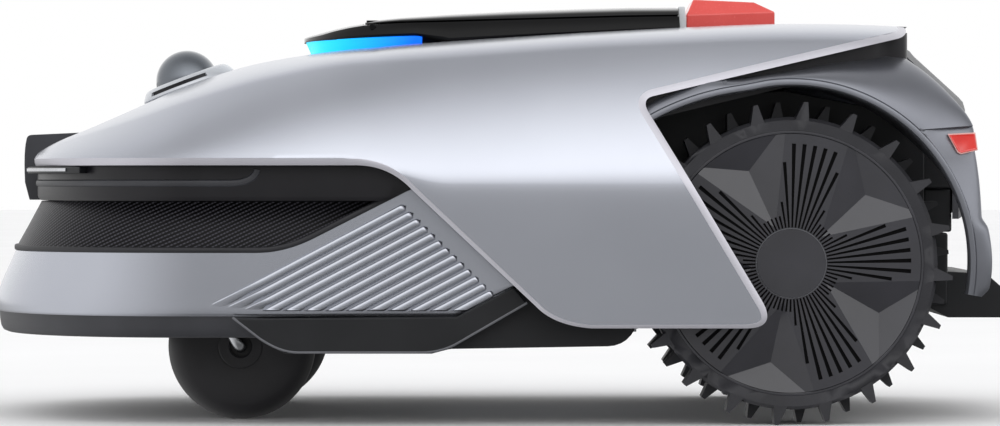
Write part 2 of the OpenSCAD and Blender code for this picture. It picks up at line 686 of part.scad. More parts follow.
// Lidar: ring on the hood, clear dome and the spinning head inside
spigot_r = 23.5;
ring_h = 7;
dome_wall = 1.5;
rotor_r = 14;
module at_lidar() {
    translate([-lidar_x, 0, roof_z(-lidar_x) + 0.4]) rotate([0, -lidar_tilt, 0]) children();
}
module lidar_base() {
    slot_z = 2.6;
    slot_h = 1.8;
    color("#dfe2e6") at_lidar() difference() {
        rotate_extrude() polygon([[0, -8], [spigot_r, -8], [spigot_r, 0], [lidar_ring_r, 0],
            [lidar_ring_r, 1], [lidar_ring_r - 2.5, ring_h - 1.5], [lidar_ring_r - 5, ring_h],
            [dome_r + 0.6, ring_h], [dome_r + 0.6, 0], [rotor_r + 3, 0], [rotor_r + 3, -2], [0, -2]]);
        for (s = [-1, 1]) translate([-19, s * lidar_ring_r - 3, slot_z]) cube([38, 6, slot_h]);
        translate([0, 0, -9]) cylinder(h = 20, r = 3 + run_fit);
    }
}
module lidar_dome() {
    color("#20242a") at_lidar() difference() {
        translate([0, 0, 1]) sphere(r = dome_r);
        translate([0, 0, 1]) sphere(r = dome_r - dome_wall);
        translate([0, 0, -49.8]) cube([100, 100, 100], center = true);
    }
}
module lidar_rotor() {
    color("#3c3f46") at_lidar() {
        translate([0, 0, -7]) cylinder(h = 9, r = 3);
        difference() {
            translate([0, 0, 1]) cylinder(h = 10, r = rotor_r);
            translate([rotor_r - 4, -5, 3]) cube([8, 10, 6]);
        }
    }
}

// Rear fenders: arch liner, side and rear wall in one moulding around the drive wheel
fender_lip_y = wheel_face_y + 4;
fender_in_y = tail_half_w + 0.3;
fender_back_y = fender_lip_y - 82;
lip_w = 4;
fender_steps = 16;
fender_angles = [for (i = [0:fender_steps]) 131 - (131 + 10) * i / fender_steps];
// Reach from the axle and inset from the lip of the outer edge, by the angle round the axle
function fender_reach(a) = lookup(a, [[-10, 111.5], [-7, 123.7], [10, 123.8], [13, 121.3], [31, 133.3],
    [37, 141.5], [58, 147], [63, 150], [73, 136], [90, 121], [110, 118], [131, 131]]);
function fender_edge_y(a) = fender_lip_y - lookup(a, [[-10, 5], [30, 9], [37, 13], [58, 41], [63, 61],
    [73, 54], [90, 45], [110, 38], [131, 33]]);
function around_axle(a, r, y) = [axle_x + r * cos(a), -y, wheel_r + r * sin(a)];
function fender_row(a, t) = let (e = max(arch_r + lip_w + 2 * wall, fender_reach(a)) - t,
    ye = fender_edge_y(a) - t,
    m = (arch_r + lip_w + e) / 2)
    [around_axle(a, arch_r + t, fender_in_y), around_axle(a, arch_r + t, fender_lip_y - t),
     around_axle(a, arch_r + lip_w, fender_lip_y - t), around_axle(a, m, (fender_lip_y - t) * 0.6 + ye * 0.4),
     around_axle(a, e, ye), around_axle(a, e, max(ye - 14, fender_back_y))];
lamp_outline = [[277.6, 178.7], [293.5, 180.5], [295, 170], [284, 168.2]];
lamp_y = [fender_lip_y - 21, fender_lip_y - 6.5];
lamp_grow = 0.4;
function grown(pts, d) = let (c = (pts[0] + pts[1] + pts[2] + pts[3]) / 4)
    [for (p = pts) p + d * [sign(p.x - c.x), sign(p.y - c.y)]];
module rear_fender(right) {
    color("#44464b") on_side(right) difference() {
        grid_shell([for (a = fender_angles) fender_row(a, wall)], [for (a = fender_angles) fender_row(a, 0)]);
        side_plate(lamp_y[0] - lamp_grow, lamp_y[1] + 10, grown(lamp_outline, lamp_grow));
    }
}
module rear_fender_left() { rear_fender(false); }
module rear_fender_right() { rear_fender(true); }
module tail_lamps() {
    color("#d03a30") both_sides() side_plate(lamp_y[0], lamp_y[1], lamp_outline);
}
// Rear cover between the fenders
cover_t = 4;
cover_top_z = 244;
cover_low_z = 130;
cover_back_x = 303;
cover_out = [[hood_rear - 7, cover_top_z], [hood_rear + 1, cover_top_z - 1], [hood_rear + 2, 233],
    [cover_back_x - 3, 205.6], [cover_back_x + 1, 197.7], [cover_back_x, cover_low_z]];
cover_in = [[cover_back_x - cover_t, cover_low_z], [cover_back_x - 3, 196], [cover_back_x - 6.4, 203],
    [hood_rear - 3, 231], [hood_rear - 4, 241], [hood_rear - 7, cover_top_z - cover_t]];
cover_rib_y = 90;
cover_rib_x = chassis_rear_x - 8;
cover_rib_z = 190;
module rear_cover() {
    color("#2a2b2f") side_plate(-fender_back_y + seam, fender_back_y - seam, concat(cover_out, cover_in));
    color("#2a2b2f") both_sides() side_plate(cover_rib_y, cover_rib_y + cover_t, [[cover_rib_x, deck_top_z],
        [cover_back_x - cover_t, cover_low_z + 12], [cover_back_x - 3, cover_rib_z],
        [cover_rib_x, cover_rib_z]]);
}
skid_half_w = 108;
skid_outline = [[chassis_rear_x, skid_low_z + 8], [285, skid_low_z], [half_length, skid_low_z],
    [half_length - 6.3, skid_low_z + 16], [half_length - 20, skid_low_z + 28],
    [chassis_rear_x, skid_low_z + 30]];
module rear_skid() {
    color("#26272b") side_plate(-skid_half_w, skid_half_w, skid_outline);
}

// Drive wheels, built with the outer face at height 0 and the axis along the local Z
module at_wheel(right) {
    on_side(right) translate([axle_x, -wheel_face_y, wheel_r]) rotate([-90, 0, 0]) children();
}
lug_phase = 94.3;
lug_skew = 1.6;
module lug(a) {
    rotate(a) polygon([[tyre_r - 2, -lug_root / 2], [tyre_r - 2, lug_root / 2],
        [wheel_r, lug_tip / 2 + lug_skew], [wheel_r, -lug_tip / 2 + lug_skew]]);
}
module lug_row(z0, z1, phase) {
    translate([0, 0, z0]) linear_extrude(z1 - z0)
        for (i = [0:lug_count - 1]) lug(phase + 360 * i / lug_count);
}
module drive_tyre(right) {
    color("#2c2c30") at_wheel(right) {
        rotate_extrude() polygon([[rim_r, 1], [tyre_r - 2, 0], [tyre_r, 2], [tyre_r, tyre_w - 2],
            [tyre_r - 2, tyre_w], [rim_r, tyre_w - 1]]);
        lug_row(0, tyre_w / 2 - 1, lug_phase);
        lug_row(tyre_w / 2 + 1, tyre_w, lug_phase + 180 / lug_count);
    }
}
barrel_t = 6;
cover_depth = 10;
web_z = [30, 36];
hub_r = 20;
hub_z = 24;
module wheel_rim(right) {
    color("#2a2a2e") at_wheel(right) rotate_extrude() polygon([[axle_r + run_fit, hub_z], [hub_r, hub_z],
        [hub_r, web_z[0]], [rim_r - barrel_t, web_z[0]], [rim_r - barrel_t, cover_depth + 0.2],
        [cover_r + 0.2, cover_depth + 0.2], [cover_r + 0.2, 1], [rim_r, 1], [rim_r, tyre_w - 1],
        [rim_r - barrel_t, tyre_w - 1], [rim_r - barrel_t, web_z[1]], [hub_r, web_z[1]], [hub_r, tyre_w],
        [axle_r + run_fit, tyre_w]]);
}
arm_angle = 6.5;
arms = 5;
arm_step = 360 / arms;
slot_in_r = cap_r + 1;
slot_depth = 3;
slot_w = [1, 2.5];
function slot_end(k) = abs(k) <= 2 ? 74 : abs(k) == 3 ? 62.7 : abs(k) == 4 ? 38.5 : 30;
valley_inner_r = 24;
valley_rim_r = 88;
valley_half = 22.5;
module valley_cut(a) {
    x = valley_rim_r * cos(valley_half);
    y = valley_rim_r * sin(valley_half);
    rotate(a) polyhedron([[valley_inner_r, 0, -0.01], [x, y, -0.01], [x, -y, -0.01],
        [valley_r, 0, valley_depth]], [[0, 2, 1], [0, 1, 3], [1, 2, 3], [2, 0, 3]]);
}
module slot_mark(a, r1) {
    w1 = slot_w[0] + (slot_w[1] - slot_w[0]) * (r1 - slot_in_r) / (74 - slot_in_r);
    rotate(a) polygon([[slot_in_r, -slot_w[0] / 2], [slot_in_r, slot_w[0] / 2], [r1, w1 / 2], [r1, -w1 / 2]]);
}
module wheel_cover(right) {
    step = arm_step / slots_per_arm;
    color("#3a3a3f") at_wheel(right) {
        difference() {
            cylinder(h = cover_depth, r = cover_r);
            for (i = [0:arms - 1]) valley_cut(-arm_angle - arm_step * (i + 0.5));
            translate([0, 0, -1]) linear_extrude(slot_depth + 1)
                for (i = [0:arms - 1], k = [-4:slots_per_arm - 5])
                    slot_mark(-arm_angle - arm_step * i - step * k, slot_end(k));
        }
        translate([0, 0, -0.8]) cylinder(h = 1, r = cap_r);
        translate([0, 0, cover_depth]) cylinder(h = hub_z - cover_depth, r = axle_r + 6);
    }
}
axle_in = 105;
module drive_axle(right) {
    color("#b0b2b6") at_wheel(right) translate([0, 0, hub_z]) cylinder(h = axle_in - hub_z, r = axle_r);
}
motor_face = wheel_face_y - tail_half_w;
motor_len = 74;
module drive_motor(right) {
    color("#5a5c62") at_wheel(right) difference() {
        union() {
            translate([0, 0, motor_face]) cylinder(h = motor_len, r = drive_motor_r);
            translate([0, 0, tyre_w + 2]) cylinder(h = motor_face - tyre_w, r = axle_r + 8);
        }
        translate([0, 0, tyre_w]) cylinder(h = axle_in - tyre_w + 1, r = axle_r + run_fit);
    }
}
module drive_tyre_left() { drive_tyre(false); }
module drive_tyre_right() { drive_tyre(true); }
module wheel_rim_left() { wheel_rim(false); }
module wheel_rim_right() { wheel_rim(true); }
module wheel_cover_left() { wheel_cover(false); }
module wheel_cover_right() { wheel_cover(true); }
module drive_axle_left() { drive_axle(false); }
module drive_axle_right() { drive_axle(true); }
module drive_motor_left() { drive_motor(false); }
module drive_motor_right() { drive_motor(true); }

// Casters: bent strut from the swivel stem round to the wheel axle
caster_x = -swivel_x + caster_trail;
strut_y = caster_y + caster_w / 2 + strut_r + 2;
strut_top_z = 2 * caster_r + strut_r + 2;
stem_top_z = chassis_top_z - 3;
// A bend in the bar is a knuckle a little thicker than the bar
knuckle = 1.04;
module bar(p, q, r) {
    d = q - p;
    translate(p) rotate([0, acos(d.z / norm(d)), atan2(d.y, d.x)]) cylinder(h = norm(d), r = r);
    translate(q) sphere(r = r * knuckle);
}
module caster_strut(right) {
    color("#c4c6ca") on_side(right) {
        translate([-swivel_x, -caster_y, strut_top_z - strut_r])
            cylinder(h = stem_top_z - strut_top_z + strut_r, r = stem_r);
        bar([-swivel_x, -caster_y, strut_top_z], [-swivel_x, -strut_y, strut_top_z], strut_r);
        bar([-swivel_x, -strut_y, strut_top_z], [caster_x, -strut_y, caster_r], strut_r);
        translate([caster_x, 0, caster_r]) along_y(-strut_y, -caster_y + caster_w / 2 - 2, strut_r);
    }
}
module caster_wheel(right) {
    h = caster_w / 2;
    outer = qbez([caster_r, 8], [caster_r - 1, h - 3], [caster_r - 12, h - 1], 6);
    side = concat(outer, [[caster_r - 18, h - 1], [caster_hub_r, h - 3], [caster_hub_r - 2, h],
        [strut_r + run_fit, h]]);
    color("#19181c") on_side(right) translate([caster_x, -caster_y, caster_r]) rotate([-90, 0, 0])
        rotate_extrude() polygon(concat([for (i = [len(side) - 1:-1:0]) [side[i].x, -side[i].y]], side));
}
bush_r = 10;
bush_low_z = strut_top_z + strut_r + 1;
module at_casters() {
    both_sides() translate([-swivel_x, -caster_y, 0]) children();
}
module caster_bushes() {
    color("#8a8c90") at_casters() translate([0, 0, bush_low_z]) difference() {
        cylinder(h = stem_top_z - bush_low_z, r = bush_r);
        translate([0, 0, -1]) cylinder(h = 60, r = stem_r + run_fit);
    }
}
module caster_wheel_left() { caster_wheel(false); }
module caster_wheel_right() { caster_wheel(true); }
module caster_strut_left() { caster_strut(false); }
module caster_strut_right() { caster_strut(true); }

// Cutting deck: carriage on two side rails, head on two lift rods, disc with three swinging blades
well_r = blade_tip_r + 7;
rail_dx = 56;
rail_z = 122;
rail_hold = 10;
rail_reach = well_r + rail_hold;
disc_t = 3;
carriage_z = [rail_z - rail_r - 5, chassis_top_z - 2];
plate_t = 7;
carriage_half = [rail_dx + rail_r + 6, 36];
guide_dx = 38;
rod_low_z = disc_z + disc_t + deck_raise + 2;
head_low_z = disc_z + 10;
head_flange_z = [rod_low_z + deck_lower, rod_low_z + deck_lower + 8];
head_top_z = chassis_top_z - deck_raise - 1.5;
shaft_r = 5;
shaft_in = 24;
module at_deck() {
    translate([deck_x, 0, 0]) children();
}
module deck_rails() {
    color("#b9bbc0") at_deck() for (s = [-1, 1]) translate([s * rail_dx, 0, rail_z])
        along_y(-rail_reach - deck_shift, rail_reach, rail_r);
}
module deck_carriage() {
    block_x = guide_dx + 11;
    plate_z = carriage_z[1] - plate_t;
    color("#55585f") at_deck() {
        difference() {
            union() {
                slab(-carriage_half[0], carriage_half[0], carriage_half[1], plate_z, carriage_z[1]);
                slab(-carriage_half[0], -block_x, carriage_half[1], carriage_z[0], plate_z + 1);
                slab(block_x, carriage_half[0], carriage_half[1], carriage_z[0], plate_z + 1);
            }
            translate([0, 0, plate_z - 1]) cylinder(h = 40, r = motor_r + air);
            for (s = [-1, 1]) translate([s * rail_dx, 0, rail_z]) along_y(-60, 60, rail_r + run_fit);
        }
        for (s = [-1, 1]) translate([s * guide_dx, 0, rod_low_z])
            cylinder(h = plate_z + 1 - rod_low_z, r = guide_r);
    }
}
module cutting_head() {
    color("#3b3d43") at_deck() difference() {
        union() {
            translate([0, 0, head_low_z]) cylinder(h = head_top_z - head_low_z, r = motor_r);
            slab(-guide_dx - 9, guide_dx + 9, 12, head_flange_z[0], head_flange_z[1]);
        }
        for (s = [-1, 1]) translate([s * guide_dx, 0, head_flange_z[0] - 1])
            cylinder(h = 40, r = guide_r + run_fit);
        translate([0, 0, head_low_z - 1]) cylinder(h = shaft_in + 3, r = shaft_r + run_fit);
    }
}
pin_r = disc_r - 8;
blade_t = 1;
blade_len = [blade_tip_r - pin_r, 8];
blade_w = 18;
blade_hole_r = 3.2;
screw_r = 3;
screw_head_r = 6;
module at_pins() {
    for (i = [0:2]) at_pin(i) children();
}
module at_pin(i) {
    at_deck() rotate(120 * i) translate([pin_r, 0, 0]) children();
}
module blade_disc() {
    vents = 6;
    vent_at = disc_r * 0.575;
    vent_r = disc_r * 0.1625;
    color("#7d8087") at_deck() difference() {
        union() {
            translate([0, 0, disc_z]) cylinder(h = disc_t, r = disc_r);
            translate([0, 0, disc_z]) cylinder(h = head_low_z - 1 - disc_z, r = 14);
            translate([0, 0, disc_z]) cylinder(h = head_low_z + shaft_in - disc_z, r = shaft_r);
        }
        for (i = [0:2]) rotate(120 * i) translate([pin_r, 0, disc_z - 1])
            cylinder(h = disc_t + 2, r = screw_r);
        for (i = [0:vents - 1]) rotate(60 * i + 30) translate([vent_at, 0, disc_z - 1])
            cylinder(h = disc_t + 2, r = vent_r);
    }
}
module blade(i) {
    z = disc_z - 0.5 - blade_t;
    x0 = -blade_len[1];
    x1 = blade_len[0] - 0.8;
    y = blade_w / 2;
    c = 3;
    color("#c8cacf") at_pin(i) translate([0, 0, z]) linear_extrude(blade_t) difference() {
        polygon([[x0, c - y], [x0 + c, -y], [x1 - c, -y], [x1, c - y], [x1, y - c], [x1 - c, y], [x0 + c, y],
            [x0, y - c]]);
        circle(r = blade_hole_r);
    }
}
module blade_1() { blade(0); }
module blade_2() { blade(1); }
module blade_3() { blade(2); }
module blade_screws() {
    color("#9a9ca2") at_pins() {
        translate([0, 0, disc_z - 1 - blade_t]) cylinder(h = blade_t + 1 + disc_t, r = screw_r);
        translate([0, 0, disc_z - 3.6 - blade_t]) cylinder(h = 2.6, r = screw_head_r);
    }
}

// Chassis tray with the deck well, motor bores and caster bosses
front_low_z = bush_low_z;
mid_x0 = -106;
mid_x1 = 70;
mid_step_z = 100;
rail_boss = 8;
tail_low_z = 60;
floor_t = 5;
well_chamfer = 40;
module well() {
    c = well_chamfer;
    low = -well_r - deck_shift;
    translate([deck_x, 0, 0]) linear_extrude(2 * chassis_top_z) polygon([[c - well_r, low], [well_r - c, low],
        [well_r, low + c], [well_r, well_r - c], [well_r - c, well_r], [c - well_r, well_r],
        [-well_r, well_r - c], [-well_r, low + c]]);
}
keel_end_x = mid_x1 + 13.3;
keel = concat([[mid_x0, mid_step_z], [mid_x0, chassis_low_z], [-42, chassis_low_z], [-30, chassis_low_z + 2]],
    qbez([mid_x1 - 3.4, chassis_low_z + 3.6], [mid_x1 + 8, chassis_low_z + 3.9], [keel_end_x, tail_low_z - 1], 5),
    [[keel_end_x, tail_low_z + 3], [mid_x1, tail_low_z + 8], [mid_x1, mid_step_z]]);
module chassis() {
    color("#1c1c20") difference() {
        union() {
            side_plate(-chassis_half_w, chassis_half_w, keel);
            slab(mid_x0, mid_x1 + rail_boss, deck_half_w, mid_step_z - 1, chassis_top_z);
            slab(mid_x1 - 1, chassis_rear_x, tail_half_w, tail_low_z, chassis_top_z);
            translate([0, 0, front_low_z]) linear_extrude(chassis_top_z - front_low_z)
                polygon(plan_outline(chassis_a, deck_half_w, mid_x0 + 1));
        }
        translate([0, 0, front_low_z + floor_t]) linear_extrude(60) difference() {
            polygon(plan_outline(chassis_a - floor_t, deck_half_w - floor_t, mid_x0 - floor_t));
            for (s = [-1, 1]) translate([-swivel_x, s * caster_y]) circle(r = bush_r + 6);
        }
        well();
        slab(mid_x1 + well_r / 2 + 14, chassis_rear_x - floor_t, 46, tail_low_z + floor_t, 300);
        at_casters() translate([0, 0, front_low_z - 1]) cylinder(h = 60, r = bush_r + run_fit);
        for (r = [false, true]) at_wheel(r) translate([0, 0, motor_face - 1])
            cylinder(h = motor_len + 1.3, r = drive_motor_r + 0.2);
        at_deck() for (s = [-1, 1]) translate([s * rail_dx, 0, rail_z])
            along_y(-rail_reach - deck_shift - 0.2, rail_reach + 0.2, rail_r + run_fit);
    }
}
// Plate over the tray, with the inner walls of the wheel houses
house_wall = [[84, deck_top_z], [84, 188], [118, 204], [axle_x, 208], [242, 196], [chassis_rear_x - 2, 170],
    [chassis_rear_x - 2, deck_top_z]];
module inner_deck() {
    color("#202024") {
        translate([0, 0, chassis_top_z]) linear_extrude(deck_t) {
            polygon(plan_outline(chassis_a - 2, deck_half_w - 2, mid_x1));
            translate([mid_x1 - 1, -tail_half_w]) square([chassis_rear_x - 2 - mid_x1 + 1, 2 * tail_half_w]);
        }
        both_sides() side_plate(tail_half_w - 4, tail_half_w, house_wall);
    }
}
battery_x = [-100, 40];
battery_half_w = 74;
battery_h = 70;
module battery_pack() {
    ribs = 6;
    rib_step = 22;
    first = battery_x[0] + 10;
    color("#2f3136") {
        slab(battery_x[0], battery_x[1], battery_half_w, deck_top_z, deck_top_z + battery_h);
        for (i = [0:ribs - 1]) translate([first + rib_step * i, 0, 0])
            slab(0, 8, battery_half_w + 2, deck_top_z, deck_top_z + battery_h - 8);
    }
}
module main_board() {
    post_h = 8;
    top = deck_top_z + post_h + 1.6;
    color("#1f5a35") slab(96, 240, 90, deck_top_z + post_h, top);
    color("#55585f") for (x = [104, 232], y = [-82, 82]) translate([x, y, deck_top_z])
        cylinder(h = post_h, r = 4);
    color("#33353a") for (x = [130, 170, 205], y = [-46, 10]) translate([x, y, top]) cube([24, 30, 6]);
}

chassis();
inner_deck();
battery_pack();
main_board();
upper_shell();
front_fascia();
camera_housing();
camera_lenses();
contact_holders();
contact_strips();
front_bumper();
bumper_top();
bumper_lip();
bumper_band();
bumper_guides();
edge_panel_left();
edge_panel_right();
console();
light_strip();
control_panel();
display_glass();
key_power();
key_start();
key_home();
lid();
lid_hinge_pin();
trim_bar();
stop_button();
stop_switch();
lidar_base();
lidar_dome();
lidar_rotor();
rear_fender_left();
rear_fender_right();
rear_cover();
tail_lamps();
rear_skid();
drive_tyre_left();
wheel_rim_left();
wheel_cover_left();
drive_axle_left();
drive_motor_left();
drive_tyre_right();
wheel_rim_right();
wheel_cover_right();
drive_axle_right();
drive_motor_right();
caster_wheel_left();
caster_strut_left();
caster_wheel_right();
caster_strut_right();
caster_bushes();
deck_rails();
deck_carriage();
cutting_head();
blade_disc();
blade_1();
blade_2();
blade_3();
blade_screws();
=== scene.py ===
"""Looks of a robotic lawn mower: painted shells, moulded trim, lugged wheels, glass and lights."""
import math

import bmesh
import bpy
from mathutils import Matrix, Vector


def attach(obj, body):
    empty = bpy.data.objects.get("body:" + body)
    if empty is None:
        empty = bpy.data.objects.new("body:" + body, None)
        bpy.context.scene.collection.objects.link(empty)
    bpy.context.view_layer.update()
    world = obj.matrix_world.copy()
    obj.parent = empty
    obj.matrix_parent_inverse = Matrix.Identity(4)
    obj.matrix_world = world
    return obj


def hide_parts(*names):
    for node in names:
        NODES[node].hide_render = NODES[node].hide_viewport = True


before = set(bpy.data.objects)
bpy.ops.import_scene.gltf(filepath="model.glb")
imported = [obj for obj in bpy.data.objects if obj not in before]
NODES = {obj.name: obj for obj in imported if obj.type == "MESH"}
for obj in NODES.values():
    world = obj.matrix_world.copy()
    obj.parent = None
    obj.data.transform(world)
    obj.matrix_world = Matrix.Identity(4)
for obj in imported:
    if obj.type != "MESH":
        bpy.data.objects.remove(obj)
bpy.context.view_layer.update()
MM = 0.001
SIDES = (("left", -1), ("right", 1))

# Driving sizes in millimetres, the same as the construction's
PLAN_X = -185.0
PLAN_POWER = 2.3
HALF_WIDTH = 218.0
WALL = 3.0
HOOD_FRONT, HOOD_REAR = 306.0, 268.0
RIM_LOW, RIM_TOP, FLANK_BEND, FLANK_LOW = 160.5, 165.0, 150.0, 60.6
BUMPER_A, BUMPER_B = 144.5, 200.0
BUMPER_LOW, BUMPER_TOP, LIP_H, CARBON_TOP = 67.4, 106.5, 3.4, 138.0
FASCIA_A, FASCIA_B = 117.0, 205.0
AXLE = (180.0, 100.0)
WHEEL_FACE = 193.0


# Colours and nodes

def linear(code):
    """An sRGB hex colour as linear red, green, blue and alpha."""
    parts = [int(code[i:i + 2], 16) / 255 for i in (1, 3, 5)]
    return [c / 12.92 if c <= 0.04045 else ((c + 0.055) / 1.055) ** 2.4 for c in parts] + [1.0]


def add(tree, kind, inputs=None, **settings):
    """Adds a node; inputs holds its socket values, or the outputs that feed them."""
    node = tree.nodes.new(kind)
    for name, value in settings.items():
        setattr(node, name, value)
    for name, value in (inputs or {}).items():
        if isinstance(value, bpy.types.NodeSocket):
            tree.links.new(value, node.inputs[name])
        else:
            node.inputs[name].default_value = value
    return node


def start_material(name, **sockets):
    """A material with one principled shader, and the place of each point in metres."""
    material = bpy.data.materials.new(name)
    material.use_nodes = True
    tree = material.node_tree
    tree.nodes.clear()
    inputs = {key.replace("_", " "): value for key, value in sockets.items()}
    shader = add(tree, "ShaderNodeBsdfPrincipled", inputs)
    add(tree, "ShaderNodeOutputMaterial", {"Surface": shader.outputs[0]})
    place = add(tree, "ShaderNodeTexCoord").outputs["Object"]
    return material, tree, shader, place


def grained(name, dark, light, rough, grain_mm, depth_mm, cloud_mm=30.0, **sockets):
    """A surface whose tone drifts between two colours in soft clouds, with a fine grain in bump and gloss."""
    material, tree, shader, place = start_material(name, **sockets)
    cloud = add(tree, "ShaderNodeTexNoise", {"Vector": place, "Scale": 1 / (cloud_mm * MM), "Detail": 3.0})
    grain = add(tree, "ShaderNodeTexNoise", {"Vector": place, "Scale": 1 / (grain_mm * MM), "Detail": 2.0})
    tone = add(tree, "ShaderNodeMapRange", {"Value": cloud.outputs[0], "From Min": 0.3, "From Max": 0.7})
    colour = add(tree, "ShaderNodeMix", {0: tone.outputs[0], 6: linear(dark), 7: linear(light)},
                 data_type="RGBA")
    gloss = add(tree, "ShaderNodeMapRange",
                {"Value": grain.outputs[0], "To Min": rough[0], "To Max": rough[1]})
    bump = add(tree, "ShaderNodeBump", {"Height": grain.outputs[0], "Distance": depth_mm * MM})
    tree.links.new(colour.outputs[2], shader.inputs["Base Color"])
    tree.links.new(gloss.outputs[0], shader.inputs["Roughness"])
    tree.links.new(bump.outputs[0], shader.inputs["Normal"])
    return material


def carbon_weave():
    """Carbon-look film under clear lacquer: rows of short bundles that climb to the rear, 2.6 mm apart."""
    material, tree, shader, _ = start_material("lacquered_carbon_film", Roughness=0.4,
                                               Specular_IOR_Level=0.14)
    surface = add(tree, "ShaderNodeUVMap", uv_map="weave").outputs[0]
    turned_map = add(tree, "ShaderNodeMapping", {"Vector": surface, "Rotation": (0, 0, math.radians(-30))})
    along = add(tree, "ShaderNodeSeparateXYZ", {"Vector": turned_map.outputs[0]}).outputs
    waves = []
    for axis, pitch in (("Y", 2.6), ("X", 2.2)):
        turns = add(tree, "ShaderNodeMath", {0: along[axis], 1: math.tau / pitch}, operation="MULTIPLY")
        waves.append(add(tree, "ShaderNodeMath", {0: turns.outputs[0]}, operation="SINE").outputs[0])
    row = add(tree, "ShaderNodeMapRange", {"Value": waves[0], "From Min": -0.25, "From Max": 0.8})
    dash = add(tree, "ShaderNodeMapRange",
               {"Value": waves[1], "From Min": -0.9, "From Max": 0.4, "To Min": 0.3})
    both = add(tree, "ShaderNodeMath", {0: row.outputs[0], 1: dash.outputs[0]}, operation="MULTIPLY")
    weave = both.outputs[0]
    colour = add(tree, "ShaderNodeMix", {0: weave, 6: linear("#040405"), 7: linear("#4A4950")},
                 data_type="RGBA")
    bump = add(tree, "ShaderNodeBump", {"Height": weave, "Distance": 0.15 * MM})
    tree.links.new(colour.outputs[2], shader.inputs["Base Color"])
    tree.links.new(bump.outputs[0], shader.inputs["Normal"])
    return material


def light_guide():
    """Lit acrylic light guide: cyan at the nose, turning blue towards its rear ends."""
    material, tree, shader, place = start_material("lit_acrylic_guide", Roughness=0.25, Emission_Strength=0.9)
    along = add(tree, "ShaderNodeSeparateXYZ", {"Vector": place})
    share = add(tree, "ShaderNodeMapRange",
                {"Value": along.outputs[0], "From Min": -130 * MM, "From Max": -55 * MM})
    glow = add(tree, "ShaderNodeMix", {0: share.outputs[0], 6: linear("#12D8FF"), 7: linear("#0E6BFF")},
               data_type="RGBA")
    tree.links.new(glow.outputs[2], shader.inputs["Base Color"])
    tree.links.new(glow.outputs[2], shader.inputs["Emission Color"])
    return material


# The real grain is too fine to show in a render, so it is drawn about 1 mm wide. Polished pieces have the
# slow waviness of a moulding, 4 to 8 mm wide, instead.

# Satin metallic paint on ABS: a bright flake under a soft clear coat, so broad highlights stay smooth
SILVER = grained("satin_silver_paint", "#B9BCC5", "#BEC1CA", (0.232, 0.24), 0.8, 0.0005, 90, Metallic=0.92)
# The same paint on a rounded edge, drawn paler as a painted highlight where the edge catches the light, with
# a wider sheen
EDGE = grained("silver_edge_painted_highlight", "#C2C1C9", "#C9C8D0", (0.30, 0.36), 0.9, 0.002, 60, Metallic=0.5)
# Spark-eroded ABS: dull dark mouldings whose grain scatters the highlight
DARK_ABS = grained("grained_dark_abs", "#17181B", "#1D1E21", (0.40, 0.5), 1.0, 0.02, Specular_IOR_Level=0.35)
FASCIA_ABS = grained("satin_black_abs", "#111015", "#17161B", (0.3, 0.4), 1.2, 0.008, Specular_IOR_Level=0.4)
BAND_ABS = grained("grained_slate_abs", "#2F3035", "#37383D", (0.40, 0.50), 1.0, 0.03)
# Deep-grained ABS of the fenders: mid grey with a wide soft sheen
FENDER_ABS = grained("grained_fender_abs", "#7A7C83", "#82848B", (0.28, 0.36), 1.3, 0.02, 45, Metallic=0.8)
# Painted shade and painted highlight in ABS: a matt near-black for slot floors that swallow light, a grey for
# thin lines that catch it; and satin ABS for an even dull cover
SHADE = grained("slot_painted_shade", "#040405", "#070709", (0.6, 0.7), 1.0, 0.01, Specular_IOR_Level=0.1)
LINE_HIGHLIGHT = grained("grey_line_painted_highlight", "#5A5B60", "#626368", (0.3, 0.4), 1.0, 0.006)
COVER_ABS = grained("satin_grey_abs", "#3C3D42", "#44454A", (0.4, 0.5), 1.2, 0.03, 40)
CARBON = carbon_weave()
# Soft TPE and tyre rubber: black and nearly matt
RUBBER = grained("soft_tpe_lip", "#1D1D21", "#25252A", (0.5, 0.62), 1.0, 0.02)
TYRE = grained("moulded_tyre_rubber", "#28282C", "#313136", (0.5, 0.66), 1.4, 0.06, 25)
CASTER_TYRE = grained("smooth_caster_rubber", "#161519", "#1E1D22", (0.42, 0.52), 1.2, 0.02)
# Fine-grained ABS of the wheel covers: each facet takes one even tone
WHEEL_ABS = grained("grained_wheel_abs", "#2F2F34", "#35353B", (0.24, 0.28), 1.1, 0.002, 35,
                    Specular_IOR_Level=0.7)
# Polished ABS, coated glass and smoked polycarbonate: deep tones with sharp reflections
PIANO = grained("polished_black_abs", "#060607", "#0A0A0C", (0.10, 0.14), 8.0, 0.001, 60,
                Specular_IOR_Level=0.22)
GLASS = grained("coated_lens_glass", "#06070C", "#10142A", (0.03, 0.06), 6.0, 0.001, 8, Coat_Weight=1.0,
                Coat_Roughness=0.02)
DOME = grained("smoked_polycarbonate", "#63686F", "#6B7077", (0.03, 0.05), 8.0, 0.0005, 30, Metallic=0.75,
               Coat_Weight=0.6, Coat_Roughness=0.02)
# Plated, drawn, ground, pressed and cast metals: the finer the finish, the tighter the highlight
NICKEL = grained("nickel_plated_contact", "#C6C8CC", "#D4D6DA", (0.18, 0.26), 0.9, 0.004, 12, Metallic=1.0)
STEEL = grained("ground_blade_steel", "#B6B9BE", "#C8CBD0", (0.22, 0.34), 1.0, 0.01, 10, Metallic=1.0)
DISC = grained("pressed_disc_steel", "#7B7E84", "#8A8D93", (0.32, 0.44), 1.2, 0.02, 18, Metallic=0.9)
ROD = grained("drawn_strut_steel", "#C2C4C8", "#D2D4D8", (0.2, 0.3), 0.9, 0.006, 14, Metallic=1.0)
CASE = grained("cast_motor_zinc", "#595B61", "#686A70", (0.42, 0.55), 1.3, 0.05, 16, Metallic=0.7)
